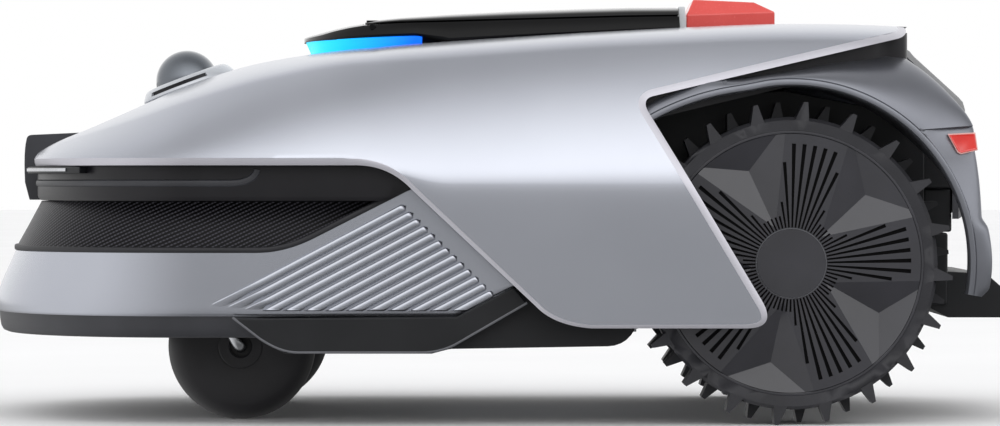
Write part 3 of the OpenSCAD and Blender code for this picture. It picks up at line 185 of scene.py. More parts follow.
# Coloured mouldings: dull silicone, and glossy ABS and acrylic with clear highlights
KEY = grained("silicone_key", "#4A4B52", "#53545B", (0.5, 0.6), 1.0, 0.02)
TRIM = grained("white_gloss_abs", "#E6E9EC", "#F2F4F6", (0.14, 0.2), 4.0, 0.004)
STOP = grained("signal_red_abs", "#E2463F", "#EA5049", (0.22, 0.30), 1.2, 0.008, 24, Coat_Weight=0.7,
               Coat_Roughness=0.15)
CLEAR_RIM = grained("pale_lamp_acrylic", "#E9B4AE", "#F2C6C1", (0.1, 0.16), 5.0, 0.004)
LAMP = grained("red_lamp_acrylic", "#C81E18", "#D8322A", (0.08, 0.14), 5.0, 0.004, 10, Coat_Weight=1.0,
               Coat_Roughness=0.04, Emission_Color=linear("#C81E18"), Emission_Strength=0.12)
RING = grained("pearl_white_abs", "#C4C7CD", "#CED1D6", (0.2, 0.26), 1.4, 0.006, 20, Metallic=0.4)
# Green solder mask with a low sheen, and waxy acetal
BOARD = grained("solder_mask_board", "#1C5331", "#25663D", (0.35, 0.45), 1.5, 0.02, 6)
BUSH = grained("acetal_bush", "#87898E", "#94969B", (0.36, 0.46), 1.0, 0.01)
GUIDE = light_guide()


# Mesh making: every place is given in millimetres

def sheet(along, across, place, uv=None):
    """A grid whose corners go where their two shares from 0 to 1 say; uv gives a map in millimetres."""
    bm = bmesh.new()
    bmesh.ops.create_grid(bm, x_segments=along, y_segments=across, size=0.5)
    shares = {v: (round((v.co.x + 0.5) * along) / along, round((v.co.y + 0.5) * across) / across)
              for v in bm.verts}
    if uv:
        layer = bm.loops.layers.uv.new("weave")
        for loop in (loop for face in bm.faces for loop in face.loops):
            loop[layer].uv = uv(*shares[loop.vert])
    for v, (a, b) in shares.items():
        v.co = Vector(place(a, b)) * MM
    return bm


def plate(points, y0, y1):
    """An outline in X and Z, filled and drawn out from y0 to y1."""
    bm = bmesh.new()
    face = bm.faces.new([bm.verts.new((x * MM, y0 * MM, z * MM)) for x, z in points])
    made = bmesh.ops.extrude_face_region(bm, geom=[face])["geom"]
    bmesh.ops.translate(bm, verts=[g for g in made if isinstance(g, bmesh.types.BMVert)],
                        vec=(0, (y1 - y0) * MM, 0))
    bmesh.ops.recalc_face_normals(bm, faces=bm.faces)
    return bm


def at(x, y, z):
    return Matrix.Translation(Vector((x, y, z)) * MM)


def tilt(degrees, axis):
    return Matrix.Rotation(math.radians(degrees), 4, axis)


def box(x0, x1, y0, y1, z0, z1):
    bm = bmesh.new()
    size = Matrix.Diagonal(((x1 - x0) * MM, (y1 - y0) * MM, (z1 - z0) * MM, 1))
    bmesh.ops.create_cube(bm, size=1, matrix=at((x0 + x1) / 2, (y0 + y1) / 2, (z0 + z1) / 2) @ size)
    return bm


def four_corners(a0, a1, b0, b1):
    """The outline of a rectangular section, back to its start."""
    return [(a0, b0), (a1, b0), (a1, b1), (a0, b1), (a0, b0)]


def turned(profile, steps, matrix):
    """A profile of radius and height turned round the local Z axis, closed at the seam."""
    bm = bmesh.new()
    verts = [bm.verts.new((r * MM, 0, z * MM)) for r, z in profile]
    edges = [bm.edges.new(pair) for pair in zip(verts, verts[1:])]
    bmesh.ops.spin(bm, geom=verts + edges, cent=(0, 0, 0), axis=(0, 0, 1), angle=math.tau, steps=steps,
                   use_merge=True)
    bmesh.ops.remove_doubles(bm, verts=bm.verts, dist=1e-6)
    bmesh.ops.recalc_face_normals(bm, faces=bm.faces)
    bmesh.ops.transform(bm, matrix=matrix, verts=bm.verts)
    return bm


def joined(*meshes):
    """Several meshes as one."""
    whole = bmesh.new()
    for bm in meshes:
        mesh = bpy.data.meshes.new("part")
        bm.to_mesh(mesh)
        bm.free()
        whole.from_mesh(mesh)
        bpy.data.meshes.remove(mesh)
    return whole


def closed(bm):
    """A sheet whose edges meet, merged there, with its open ends filled."""
    bmesh.ops.remove_doubles(bm, verts=bm.verts, dist=1e-6)
    bmesh.ops.holes_fill(bm, edges=[e for e in bm.edges if e.is_boundary])
    bmesh.ops.recalc_face_normals(bm, faces=bm.faces)
    return bm


def on_side(bm, sign):
    """A mesh made for the left side, mirrored where the sign is the right side's."""
    if sign > 0:
        bmesh.ops.scale(bm, vec=(1, -1, 1), verts=bm.verts)
        bmesh.ops.reverse_faces(bm, faces=bm.faces)
    return bm


def mirrored(bm):
    """The mesh and its mirror image on the other side of the machine."""
    return joined(bm, on_side(bm.copy(), 1))


def as_object(bm, name):
    mesh = bpy.data.meshes.new(name)
    bm.to_mesh(mesh)
    bm.free()
    obj = bpy.data.objects.new(name, mesh)
    bpy.context.scene.collection.objects.link(obj)
    return obj


def evaluated(obj):
    """The mesh of an object after its modifiers; the object itself goes."""
    graph = bpy.context.evaluated_depsgraph_get()
    bm = bmesh.new()
    bm.from_mesh(obj.evaluated_get(graph).to_mesh())
    mesh = obj.data
    bpy.data.objects.remove(obj)
    bpy.data.meshes.remove(mesh)
    return bm


def thickened(bm, thickness):
    """A wall of that thickness behind the sheet."""
    obj = as_object(bm, "wall")
    wall = obj.modifiers.new("wall", "SOLIDIFY")
    wall.thickness = thickness * MM
    wall.offset = -1
    wall.use_even_offset = True
    return evaluated(obj)


def carved(bm, tool, operation="DIFFERENCE"):
    """The mesh cut by the tool."""
    obj, knife = as_object(bm, "stock"), as_object(tool, "knife")
    cut = obj.modifiers.new("cut", "BOOLEAN")
    cut.object, cut.operation, cut.solver = knife, operation, "EXACT"
    result = evaluated(obj)
    mesh = knife.data
    bpy.data.objects.remove(knife)
    bpy.data.meshes.remove(mesh)
    return result


def piece(bm, name, material, body, replaces=(), bevel=0.0, sharp=32):
    """Finishes a mesh as a piece of the machine: smooth faces, edge rounding, material and body."""
    obj = as_object(bm, name)
    obj.data.materials.append(material)
    for polygon in obj.data.polygons:
        polygon.use_smooth = True
    obj.data.set_sharp_from_angle(angle=math.radians(sharp))
    if bevel:
        soften(obj, bevel)
    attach(obj, body)
    if replaces:
        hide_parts(*replaces)


def soften(obj, width):
    """Rounds the hard edges of an object."""
    edge = obj.modifiers.new("edge", "BEVEL")
    edge.width = width * MM
    edge.segments = 2
    edge.limit_method = "ANGLE"
    edge.angle_limit = math.radians(28)
    edge.harden_normals = True
    edge.miter_outer = "MITER_ARC"


# Curves and the body's own surfaces

def bezier(points, t):
    """The point at share t of a curve with any number of controls."""
    while len(points) > 1:
        points = [tuple(a + (b - a) * t for a, b in zip(p, q)) for p, q in zip(points, points[1:])]
    return points[0]


def ramp(t):
    u = min(1.0, max(0.0, t))
    return u * u * (3 - 2 * u)


def looked_up(x, table):
    """A value between the table's pairs, on straight lines."""
    for (x0, y0), (x1, y1) in zip(table, table[1:]):
        if x <= x1:
            return y0 + (y1 - y0) * max(0.0, (x - x0) / (x1 - x0))
    return table[-1][1]


def flowing(x, table):
    """A value between the table's pairs, on a curve without corners."""
    i = max(k for k in range(len(table) - 1) if k == 0 or table[k][0] <= x)
    (x0, y0), (x1, y1) = table[i], table[i + 1]
    step = x1 - x0
    before, after = table[max(0, i - 1)], table[min(len(table) - 1, i + 2)]
    slope0 = (y1 - before[1]) / (x1 - before[0])
    slope1 = (after[1] - y0) / (after[0] - x0)
    t = min(1.0, max(0.0, (x - x0) / step))
    return ((2 * t ** 3 - 3 * t ** 2 + 1) * y0 + (t ** 3 - 2 * t ** 2 + t) * step * slope0
            + (3 * t ** 2 - 2 * t ** 3) * y1 + (t ** 3 - t ** 2) * step * slope1)


def along_polyline(points, share):
    """The point at a share of a list of points, counted by points."""
    k = share * (len(points) - 1)
    i = min(int(k), len(points) - 2)
    return tuple(a + (b - a) * (k - i) for a, b in zip(points[i], points[i + 1]))


def plan_point(a, b, phi):
    """A point of the rounded nose seen from above, for an angle in degrees from the middle."""
    c, s = math.cos(math.radians(phi)), math.sin(math.radians(phi))
    power = 2 / PLAN_POWER
    return PLAN_X - a * max(c, 0.0) ** power, math.copysign(b * abs(s) ** power, s)


def round_the_nose(u, end_x, nose_share):
    """Nose angle and run along the straight side, for a share from 0 at the right tail to 1 at the left."""
    t = 1 - 2 * u
    phi = 90 * max(-1.0, min(1.0, t / nose_share))
    return phi, (end_x - PLAN_X) * max(0.0, abs(t) - nose_share) / (1 - nose_share)


def facing(phi):
    """How far a wall at that nose angle looks forward, from 0 at the side to 1 at the front."""
    return math.cos(math.radians(phi)) ** 2


WALL_NOSE = 0.72


def nose_wall(profile, a, b, end_x, steps, rows=1, uv=None):
    """A wall round the nose. A profile point holds its inset at the front and at the side, and its height."""
    def place(u, v):
        front, side, z = along_polyline(profile, v)
        phi, run = round_the_nose(u, end_x, WALL_NOSE)
        inset = side + (front - side) * facing(phi)
        x, y = plan_point(a - inset, b - inset, phi)
        return x + run, y, z
    return sheet(steps, rows * (len(profile) - 1), place, uv)


# Hood: one painted shell with a crowned roof, leaning sides, a bend and upright flanks
HOOD_A = 118.8
ROOF_FRONT, ROOF_RISE, ROOF_RUN, ROOF_POWER = 166.0, 75.0, 252.0, 2.1
CROWN_X, CROWN_RUN, CROWN_RISE = -80.0, 300.0, 13.0
BEND_X, BEND_RUN = -100.0, 70.0
SHOULDER = (0.80, 0.85)
ROOF_CURVE = [(0, 1), (0.50, 1), (0.74, 0.99), SHOULDER]
SIDE_CURVE = [SHOULDER, (0.945, 0.51), (1, 0)]
BEND_SOFT = 8.0
REAR_GAP, REAR_BOW, BOW_AT = 3.5, 11.2, 200.0
# How far the roof lies under its plain curve along X, and how round its section is there
ROOF_EASE = [(-306, 0), (-285, 1.0), (-262, 3.6), (-235, 4.2), (-200, 2.2), (-160, 1.7), (-125, 2.6),
             (-60, 2.7), (0, 2.9), (60, 2.9), (110, 2.5), (150, 1.9), (180, 1.7), (225, 2.3), (250, 3.2),
             (268, 3.8)]
ROUNDNESS = [(-306, 0.34), (-270, 0.40), (-245, 0.415), (-220, 0.40), (-190, 0.33), (-160, 0.24),
             (-120, 0.13), (-82, 0.07), (-51, 0.043), (0, 0.02), (60, 0), (268, 0)]


def roof_z(x):
    rise = ROOF_RISE * (1 - max(0.0, 1 - (x + HOOD_FRONT) / ROOF_RUN) ** ROOF_POWER)
    crown = CROWN_RISE * math.sin(math.radians(90 * (x - CROWN_X) / CROWN_RUN)) if x > CROWN_X else 0.0
    return ROOF_FRONT + rise + crown - flowing(x, ROOF_EASE)


def bend_z(x):
    return RIM_TOP - (RIM_TOP - FLANK_BEND) * ramp((x - BEND_X) / BEND_RUN)


def hood_section(k, x):
    """Shares of the half width and of the height over the bend, from the middle of the roof to the bend."""
    across, height = bezier(ROOF_CURVE, 2 * k) if k < 0.5 else bezier(SIDE_CURVE, 2 * k - 1)
    return across, height * (1 - flowing(x, ROUNDNESS) * across * across)


def bend_ease(x, z):
    """How far the softened bend lies inside a sharp one."""
    soft, over = BEND_SOFT * ramp((x - BEND_X) / BEND_RUN), z - bend_z(x)
    return 0.125 * (math.hypot(over, soft) - abs(over))


def hood_side(x, w, z):
    """Half width of the hood at a height, where the flank's half width is w."""
    low, top = bend_z(x), roof_z(x)
    height = min(1.0, max(0.0, (z - low) / (top - low)))
    k0, k1 = 0.0, 1.0
    for _ in range(30):
        middle = (k0 + k1) / 2
        if hood_section(middle, x)[1] > height:
            k0 = middle
        else:
            k1 = middle
    return w * hood_section(k1, x)[0] - bend_ease(x, z)


def rear_edge(y):
    """X of the hood's rear edge, which bows forward towards the sides."""
    return HOOD_REAR - REAR_GAP - REAR_BOW * (abs(y) / BOW_AT) ** 1.15


def hood_skin(inset=0.0):
    """The untrimmed skin or its inner face, from the nose to the rear and from flank foot to flank foot."""
    nose, first, over = 0.4, 5.0, 0.70

    def place(u, v):
        side = 2 * v - 1
        k = abs(side)
        part = min(1.0, k / over)
        if u < nose:
            x, w = plan_point(HOOD_A - inset, HALF_WIDTH - inset, first + (90 - first) * u / nose)
        else:
            w = HALF_WIDTH - inset
            x = PLAN_X + (rear_edge(w * hood_section(part, 0)[0]) - PLAN_X) * (u - nose) / (1 - nose)
        across, height = hood_section(part, x)
        low, top = bend_z(x) - inset, roof_z(x) - inset
        down = max(0.0, (k - over) / (1 - over)) ** 1.4
        z = low + (top - low) * height + (FLANK_LOW - 4 - low) * down
        return x, math.copysign(w * across - bend_ease(x, z + inset), side), z
    return sheet(150, 140, place)


def hood_wall():
    inner = hood_skin(WALL)
    bmesh.ops.reverse_faces(inner, faces=inner.faces)
    whole = joined(hood_skin(), inner)
    bmesh.ops.bridge_loops(whole, edges=[e for e in whole.edges if e.is_boundary])
    return whole


# The hood's edge over the rear fender, from its front corner to the tail
SAIL = [(96, 203.6), (139, 214), (247, 239.3)]


def trim_path():
    """The hood's lower edge seen from the side: X, Z, width of the band of painted highlight along it, and
    nose angle.
    """
    angles = [6 + 84 * i / 40 for i in range(41)]
    path = [(plan_point(HOOD_A, HALF_WIDTH, phi)[0], RIM_LOW, 4.5, phi) for phi in angles]
    runs = [([(PLAN_X, RIM_LOW), (-88, RIM_LOW)], 12, 4.5, 4.0),
            ([(-88, RIM_LOW), (-68, RIM_LOW), (-54, 145.6)], 14, 4.0, 2.6),
            ([(-54, 145.6), (22, 74.1)], 18, 2.6, 2.4),
            ([(22, 74.1), (33, 62.4), (56, FLANK_LOW)], 14, 2.4, 2.0),
            ([(56, FLANK_LOW), (150.6, FLANK_LOW)], 14, 2.0, 2.4),
            ([(150.6, FLANK_LOW), (170.6, FLANK_LOW), (160, 78.3)], 14, 2.4, 4.3),
            ([(160, 78.3), (92, 192.3)], 24, 4.3, 4.3),
            ([(92, 192.3), (86, 202), SAIL[0]], 12, 4.3, 4.3),
            (SAIL, 24, 4.3, 4.6),
            ([SAIL[-1], (254.6, 241), (255.2, 248)], 8, 4.6, 4.6)]
    for points, count, band0, band1 in runs:
        for i in range(1, count + 1):
            t = i / count
            path.append((*bezier(points, t), band0 + (band1 - band0) * t, 90))
    return path


def inner_edge(path):
    """The same path moved into the hood by the width of the band."""
    moved = []
    for i, (x, z, band, phi) in enumerate(path):
        p, q = path[max(0, i - 1)], path[min(len(path) - 1, i + 1)]
        dx, dz = (1.0, 0.0) if phi < 90 else (q[0] - p[0], q[1] - p[1])
        size = math.hypot(dx, dz)
        moved.append((x - band * dz / size, z + band * dx / size, band, phi))
    return moved


def on_hood(point, inset):
    """A point of the left side of the hood, moved in by an inset."""
    x, z, _, phi = point
    if phi < 90:
        px, py = plan_point(HOOD_A - inset, HALF_WIDTH - inset, phi)
        return px, -py, z
    return x, inset - hood_side(x, HALF_WIDTH, z), z


def hood_band(path, inner):
    """The band along the hood's edge, drawn paler as a painted highlight: a rounded chamfer and the edge of
    the wall behind it.
    """
    rows = [(path, 6.0), (path, 1.7), (path, 0.9), (None, 0.15), (inner, 0.0)]
    middle = [((a[0] + b[0]) / 2, (a[1] + b[1]) / 2, a[2], a[3]) for a, b in zip(path, inner)]

    def place(u, v):
        line, inset = rows[round(v * (len(rows) - 1))]
        return on_hood((line or middle)[round(u * (len(path) - 1))], inset)
    return sheet(len(path) - 1, len(rows) - 1, place)


def camera_notch():
    return box(-346, -273.5, -34.5, 34.5, 100, 240)


def console_well():
    return box(-78, 108, -66, 66, 200, 300)


def hood():
    """The shell inside its trimmed edge, opened for the camera, console, stop button and lidar."""
    inner = inner_edge(trim_path())
    front, rear, over, beside = -HOOD_FRONT - 40, HOOD_REAR + 40, 320, HALF_WIDTH + 9
    outline = [(front, inner[0][1])] + [(x, z) for x, z, _, _ in inner]
    outline += [(rear, inner[-1][1] + 2), (rear, over), (front, over)]
    shell = carved(hood_wall(), plate(outline, -beside, beside), "INTERSECT")
    lidar_hole = turned([(0, -30), (24, -30), (24, 30), (0, 30)], 64, LIDAR_PLACE)
    stop_well = box(120.5, 180.5, -39.5, 39.5, 200, 300)
    return carved(shell, joined(camera_notch(), console_well(), stop_well, lidar_hole))


LIDAR_PLACE = at(-206, 0, 215.45) @ tilt(-20.5, "Y")
piece(hood(), "hood_shell", SILVER, "base", ["upper_shell"], sharp=24)
EDGE_PATH = trim_path()
# The edge band wears the paler paint: a painted highlight along the hood's edge
piece(mirrored(hood_band(EDGE_PATH, inner_edge(EDGE_PATH))), "hood_edge_band", EDGE, "base",
      sharp=50)


# Bumper: leaning silver face with ribbed skirts, soft lip, carbon panel and dark band
SKIRT_END = 22.5
SKIRT_KNEE = [(-150, BUMPER_TOP), (-132.35, BUMPER_TOP), (-114.7, 115.45)]
SKIRT_PEAK = (-54.4, 146.0)
SKIRT_TOP = ([(PLAN_X, BUMPER_TOP)] + [bezier(SKIRT_KNEE, i / 8) for i in range(9)]
             + [SKIRT_PEAK, (-39.4, 149.0), (SKIRT_END, 86.0)])
SKIRT_LOW = [(PLAN_X, BUMPER_LOW), (-26.6, BUMPER_LOW), (8.5, 85.6), (SKIRT_END, 86.0)]
BUMPER_NOSE, BUMPER_WALL = 0.56, 1.2
LIP_INSET, CARBON_END, BAND_END = 12.8, -50.0, -150.0
RIB_COUNT, RIB_PITCH, RIB_SLOPE, RIB_LOW, RIB_TIP = 13, 12.9, math.radians(27.8), 70.6, 2.6
# X and height of the line on which the ribs end add up to this
RIB_LINE = 78.0


def bumper_face():
    profile = [(1.4, 1.0, BUMPER_LOW), (0.3, 0.2, 68.4), (0, 0, 70), (0.5, 0, 76), (2.0, 0, 81.4),
               (5.6, 0, 90), (9.4, 0, 98), (13.4, 0, BUMPER_TOP)]

    def place(u, v):
        phi, run = round_the_nose(u, SKIRT_END, BUMPER_NOSE)
        front, side, z = along_polyline(profile, v)
        inset = side + (front - side) * facing(phi)
        x, y = plan_point(BUMPER_A - inset, BUMPER_B - inset, phi)
        if not run:
            return x, y, z
        low, top = looked_up(x + run, SKIRT_LOW), looked_up(x + run, SKIRT_TOP)
        return x + run, y, low + (top - low) * (z - BUMPER_LOW) / (BUMPER_TOP - BUMPER_LOW)
    return thickened(sheet(260, 14, place), BUMPER_WALL)


def rib(x, fade_run):
    """One bar with a flat top, a steep lower side and a round upper end, cut level at its foot."""
    c, s = math.cos(RIB_SLOPE), math.sin(RIB_SLOPE)
    run = (RIB_LINE - x - RIB_LOW) / (c + s)
    section = [(-2.9, 0), (-2.5, 0.9), (-2.2, 1.4), (-1.8, 1.6), (1.4, 1.36), (1.8, 1.15), (2.15, 0.65),
               (2.35, 0)]

    def place(u, v):
        across, rise = section[round(v * (len(section) - 1))]
        foot = -across * c / s
        along = foot + u * (run - foot)
        left = run - along
        tip = math.sqrt(max(0.0, 1 - max(0.0, 1 - left / RIB_TIP) ** 2))
        across *= tip
        rise *= ramp((along - foot) / fade_run) * tip
        return x + along * c - across * s, 0.1 - BUMPER_B - rise, RIB_LOW + along * s + across * c
    return sheet(60, len(section) - 1, place)


def bumper_lip():
    """The soft lip between the silver face and the carbon panel, following the skirt's upper edge."""
    section = [(-6, 0), (0, 0), (0.45, 0.5), (0.6, LIP_H / 2), (0.45, LIP_H - 0.5), (0, LIP_H), (-6, LIP_H)]

    def place(u, v):
        phi, run = round_the_nose(u, SKIRT_PEAK[0] - 2, BUMPER_NOSE)
        out, up = along_polyline(section, v)
        inset = LIP_INSET * facing(phi) - out
        x, y = plan_point(BUMPER_A - inset, BUMPER_B - inset, phi)
        if abs(phi) < 90:
            return x, y, BUMPER_TOP + up
        x += run
        z, ahead = looked_up(x, SKIRT_TOP), looked_up(x + 1, SKIRT_TOP)
        lean = math.atan2(ahead - z, 1)
        return x - up * math.sin(lean), y, z + up * math.cos(lean)
    return sheet(260, len(section) - 1, place)


def carbon_panel():
    profile = [(14.4, 4.2, BUMPER_TOP + LIP_H), (22.4, 8.6, 124), (30, 14, CARBON_TOP)]
    slant = 34.0
    stations = [plan_point(BUMPER_A - 20, BUMPER_B - 9, 90 - 180 * i / 90) for i in range(91)]
    arc = [0.0]
    for p, q in zip(stations, stations[1:]):
        arc.append(arc[-1] + math.dist(p, q))

    def uv(u, v):
        """Millimetres along the panel and up it, mirrored so that the rows climb rearwards on both sides."""
        phi, run = round_the_nose(u, CARBON_END, WALL_NOSE)
        share = (90 - phi) / 2
        i = min(int(share), 89)
        along = arc[i] + (arc[i + 1] - arc[i]) * (share - i) - arc[-1] / 2
        return abs(along + math.copysign(run, -phi)), v * slant
    return nose_wall(profile, BUMPER_A, BUMPER_B, CARBON_END, 200, 6, uv)


BAND_PROFILE = [(12, 12, 54), (7, 7, 54), (4.6, 4.6, 55), (3.2, 3.2, 57.5), (2.4, 2.4, 62),
                (2, 2, BUMPER_LOW)]
RIBS = [rib(PLAN_X + 4 + RIB_PITCH * i, max(1.5, 40 - 13 * i)) for i in range(RIB_COUNT)]
piece(joined(bumper_face(), mirrored(joined(*RIBS))), "bumper_face", SILVER, "bumper",
      ["front_bumper"], sharp=40)
piece(bumper_lip(), "bumper_soft_lip", RUBBER, "bumper", ["bumper_lip"], sharp=60)
piece(carbon_panel(), "bumper_carbon_panel", CARBON, "bumper", ["bumper_top"])
piece(nose_wall(BAND_PROFILE, BUMPER_A, BUMPER_B, BAND_END, 160, 2), "bumper_low_band", BAND_ABS,
      "bumper", ["bumper_band"], sharp=50)


# Fascia under the rim, with a raised line that turns up to the rim on each side
FASCIA_END, FASCIA_LOW, FASCIA_TOP, FASCIA_WALL = -54.0, 138.6, 160.0, 2.0
SKIRT_X, SKIRT_GAP = -100.0, 0.8
LINE_LOW, LINE_WIDE, LINE_NOSE = 147.2, 4.6, 0.7


def fascia_wall():
    """The fascia with its notch for the camera; at its rear ends it keeps clear of the bumper's skirts."""
    profile = [(8, 6, FASCIA_LOW), (2, 0.5, FASCIA_LOW), (0.6, 0.1, 140), (0, 0, 141.5), (0, 0, 150),
               (0, 0, FASCIA_TOP), (3, 3, FASCIA_TOP)]
    bm = nose_wall(profile, FASCIA_A, FASCIA_B, FASCIA_END, 240)
    for v in bm.verts:
        if v.co.x > SKIRT_X * MM:
            v.co.z = max(v.co.z, (looked_up(v.co.x / MM, SKIRT_TOP) + SKIRT_GAP) * MM)
    return carved(thickened(bm, FASCIA_WALL), camera_notch())


def fascia_line():
    path = [(PLAN_X, 0)] + [bezier([(-166, 0), (-150, 0), (-147, 10)], i / 10) for i in range(11)]

    def place(u, v):
        t = 1 - 2 * u
        out, wide = 1.2 * math.sin(math.pi * v) ** 0.3 - 0.1, LINE_WIDE * v
        if abs(t) < LINE_NOSE:
            x, y = plan_point(FASCIA_A + out, FASCIA_B + out, 90 * t / LINE_NOSE)
            return x, y, LINE_LOW + wide
        share = (abs(t) - LINE_NOSE) / (1 - LINE_NOSE)
        (x, up), (x2, up2) = along_polyline(path, share), along_polyline(path, min(1.0, share + 0.02))
        if share > 0.98:
            x2, up2 = x + 0.3, up + 1
        lean = math.atan2(up2 - up, x2 - x)
        y = math.copysign(FASCIA_B + out, t)
        return x - wide * math.sin(lean), y, LINE_LOW + up + wide * math.cos(lean)
    return sheet(240, 6, place)


def camera_case():
    """A block with a bowed face and a rounded brow, bored for its two lenses."""
    bows = [[(-310, 150), (-311, 170), (-309, 178)], [(-309, 178), (-308.5, 181), (-305, 181)]]
    outline = ([(-307, FASCIA_LOW), (-310, 150)] + [bezier(bow, i / 6) for bow in bows for i in range(1, 7)]
               + [(-274.2, 182.4), (-274.2, 140.2), (-286.6, 140.2), (-286.6, FASCIA_LOW)])
    bores = [turned([(0, -6), (8.5, -6), (8.5, 8), (0, 8)], 48, at(-310, y, 164) @ tilt(-90, "Y"))
             for y in (-18, 18)]
    return carved(plate(outline, -34, 34), joined(*bores))


piece(fascia_wall(), "front_fascia_wall", FASCIA_ABS, "base", ["front_fascia"], sharp=40)
piece(fascia_line(), "front_fascia_line", BAND_ABS, "base")
piece(camera_case(), "camera_case", BAND_ABS, "base", ["camera_housing"], bevel=1.2)


def nose_strip(out0, out1, z0, z1, phi0, phi1):
    """A bar that follows the fascia between two nose angles on the left side."""
    corners = four_corners(out0, out1, z0, z1)

    def place(u, v):
        out, z = along_polyline(corners, v)
        x, y = plan_point(FASCIA_A + out, FASCIA_B + out, phi0 + (phi1 - phi0) * u)
        return x, -y, z
    return closed(sheet(24, 4, place))


piece(mirrored(nose_strip(-0.4, 6.4, 155.6, 159.9, 12, 55)), "contact_holder_bars", DARK_ABS, "base",
      ["contact_holders"], bevel=0.7)
piece(mirrored(nose_strip(5.2, 7.2, 156.8, 158.9, 15, 49)), "contact_strip_bars", NICKEL, "base",
      ["contact_strips"], bevel=0.3)


# Edge panels low on the sides
PANEL_LOW, PANEL_SEAT_Y, PANEL_BACK, PANEL_FACE = 44.6, 190.0, 201.8, 205.6
PANEL_TIP, PANEL_TAIL = (-165, 66.2), (17.1, 75.2)
PANEL_OUTLINE = [PANEL_TIP, (-146.3, 51.8), (-131.8, PANEL_LOW), (-42, PANEL_LOW), (-30.9, 47.5), PANEL_TAIL,
                 (8.5, 85.6), (-26.6, BUMPER_LOW)]
PANEL_SEAT = [(-110, 45.6), (-44, 45.6), (-32, 50), (-8, 62), (-110, 62)]
PANEL_BENDS = [[(-149, 53.9), (-136, PANEL_LOW), (-124, PANEL_LOW)],
               [(-48, PANEL_LOW), (-37, PANEL_LOW), (-27, 49.7)]]
PANEL_FOOT = ([PANEL_TIP, (-153, 57)] + [bezier(bend, i / 8) for bend in PANEL_BENDS for i in range(9)]
              + [PANEL_TAIL])


def panel_face():
    return joined(plate(PANEL_OUTLINE, -PANEL_BACK, -PANEL_FACE),
                  plate(PANEL_SEAT, -PANEL_SEAT_Y, -PANEL_BACK))


def panel_rim():
    """A rounded bar along the panel's lower edge, light grey as a painted highlight."""
    def place(u, v):
        i = round(u * (len(PANEL_FOOT) - 1))
        p, q = PANEL_FOOT[max(0, i - 1)], PANEL_FOOT[min(len(PANEL_FOOT) - 1, i + 1)]
        size = math.dist(p, q)
        x, z = PANEL_FOOT[i]
        inward, out = 0.1 + 1.5 * v, 0.35 * math.sin(math.pi * v) - 0.1
        return x - inward * (q[1] - p[1]) / size, -PANEL_FACE - out, z + inward * (q[0] - p[0]) / size
    return sheet(len(PANEL_FOOT) - 1, 4, place)


for side, sign in SIDES:
    piece(on_side(panel_face(), sign), f"edge_panel_{side}_face", DARK_ABS, "base",
          [f"edge_panel_{side}"], bevel=1.1)
    # A grey bar along the panel's foot: painted highlight
    piece(on_side(panel_rim(), sign), f"edge_panel_{side}_rim", LINE_HIGHLIGHT, "base", sharp=50)


# Console and lid: one black lens of polished plastic on the roof, with a lit strip under its nose
CONSOLE_FRONT, CONSOLE_START, CONSOLE_REAR, CONSOLE_W, CONSOLE_POWER = 129.0, -50.0, 115.0, 88.0, 2.2
CONSOLE_TOP = [(-129, 244.7), (-118, 247.3), (-107, 250), (-97, 252), (-87, 253.4), (-64, 254.6), (0, 256.4),
               (79, 258.5), (115, 259)]
CONSOLE_LOW = [(-129, 241.5), (-54, 243.2), (-24, 238)]
SEAM_DROP, ROOF_SINK = 2.5, 2.5
LID_TOP = [(-87, 254.5), (-76, 255.9), (-64, 257.1), (-33, 259.4), (8, 261.6), (50, 263.1), (84, 264),
           (115, 264.1)]
LID_FRONT, LID_REAR, LID_W = -87.0, 114.4, 79.0


def console_plan(share, inset=0.0):
    """X and half width of the console from its nose at 0 to its rear end at 1."""
    nose, tip = 0.5, 0.6
    if share < nose:
        turn = math.radians(tip + (90 - tip) * share / nose)
        power = 2 / CONSOLE_POWER
        reach = (CONSOLE_FRONT + CONSOLE_START - inset) * math.cos(turn) ** power
        return CONSOLE_START - reach, (CONSOLE_W - inset) * math.sin(turn) ** power
    return CONSOLE_START + (CONSOLE_REAR - CONSOLE_START) * (share - nose) / (1 - nose), CONSOLE_W - inset


def ringed(along, half_ring, plan):
    """A closed body whose cross-sections are half rings, from the foot round to the middle of the top."""
    count = len(half_ring(*plan(0.5))) * 2 - 2

    def place(u, v):
        x, w = plan(u)
        half = half_ring(x, w)
        i = round(v * count)
        y, z = half[i] if i < len(half) else half[count - i]
        return x, -y if i < len(half) else y, z
    return closed(sheet(along, count, place))


def console_ring(x, w):
    """Half a section of the console: a leaning side up to the seam, then the crowned top."""
    low = roof_z(x) - ROOF_SINK
    if x < CONSOLE_START + 14:
        low = max(low, looked_up(x, CONSOLE_LOW))
    top = looked_up(x, CONSOLE_TOP)
    seam = top - SEAM_DROP * min(1.0, (top - low) / 6)
    lean = 7 * min(1.0, (seam - low) / 14) * min(1.0, w / 40)
    side = [(w - lean * back, low + up * (seam - low))
            for back, up in ((0, 0.25), (0.25, 0.5), (0.6, 0.8), (1, 1))]
    crown = [((w - lean) * u, top - (top - seam) * u ** 4) for u in (0.97, 0.93, 0.86, 0.74, 0.55, 0.3, 0.0)]
    return [(0, low), (w * 0.97, low)] + side + crown


def lid_plan(share):
    x = LID_FRONT + (LID_REAR - LID_FRONT) * share
    return x, LID_W - 14 * max(0.0, (-60 - x) / 27) ** 2


def lid_ring(x, w):
    deck, top = looked_up(x, CONSOLE_TOP), looked_up(x, LID_TOP)
    rim = deck - SEAM_DROP + 1.3
    low = [(u * w, deck + 0.4 - SEAM_DROP * u ** 4) for u in (0.0, 0.4, 0.7, 0.9)]
    dome = [(w * c, rim + (top - rim) * (1 - c ** 2.6) ** (1 / 2.6))
            for c in (0.995, 0.98, 0.95, 0.9, 0.82, 0.7, 0.5, 0.25, 0.0)]
    return low + [(w - 0.5, rim - 0.6), (w, rim)] + dome


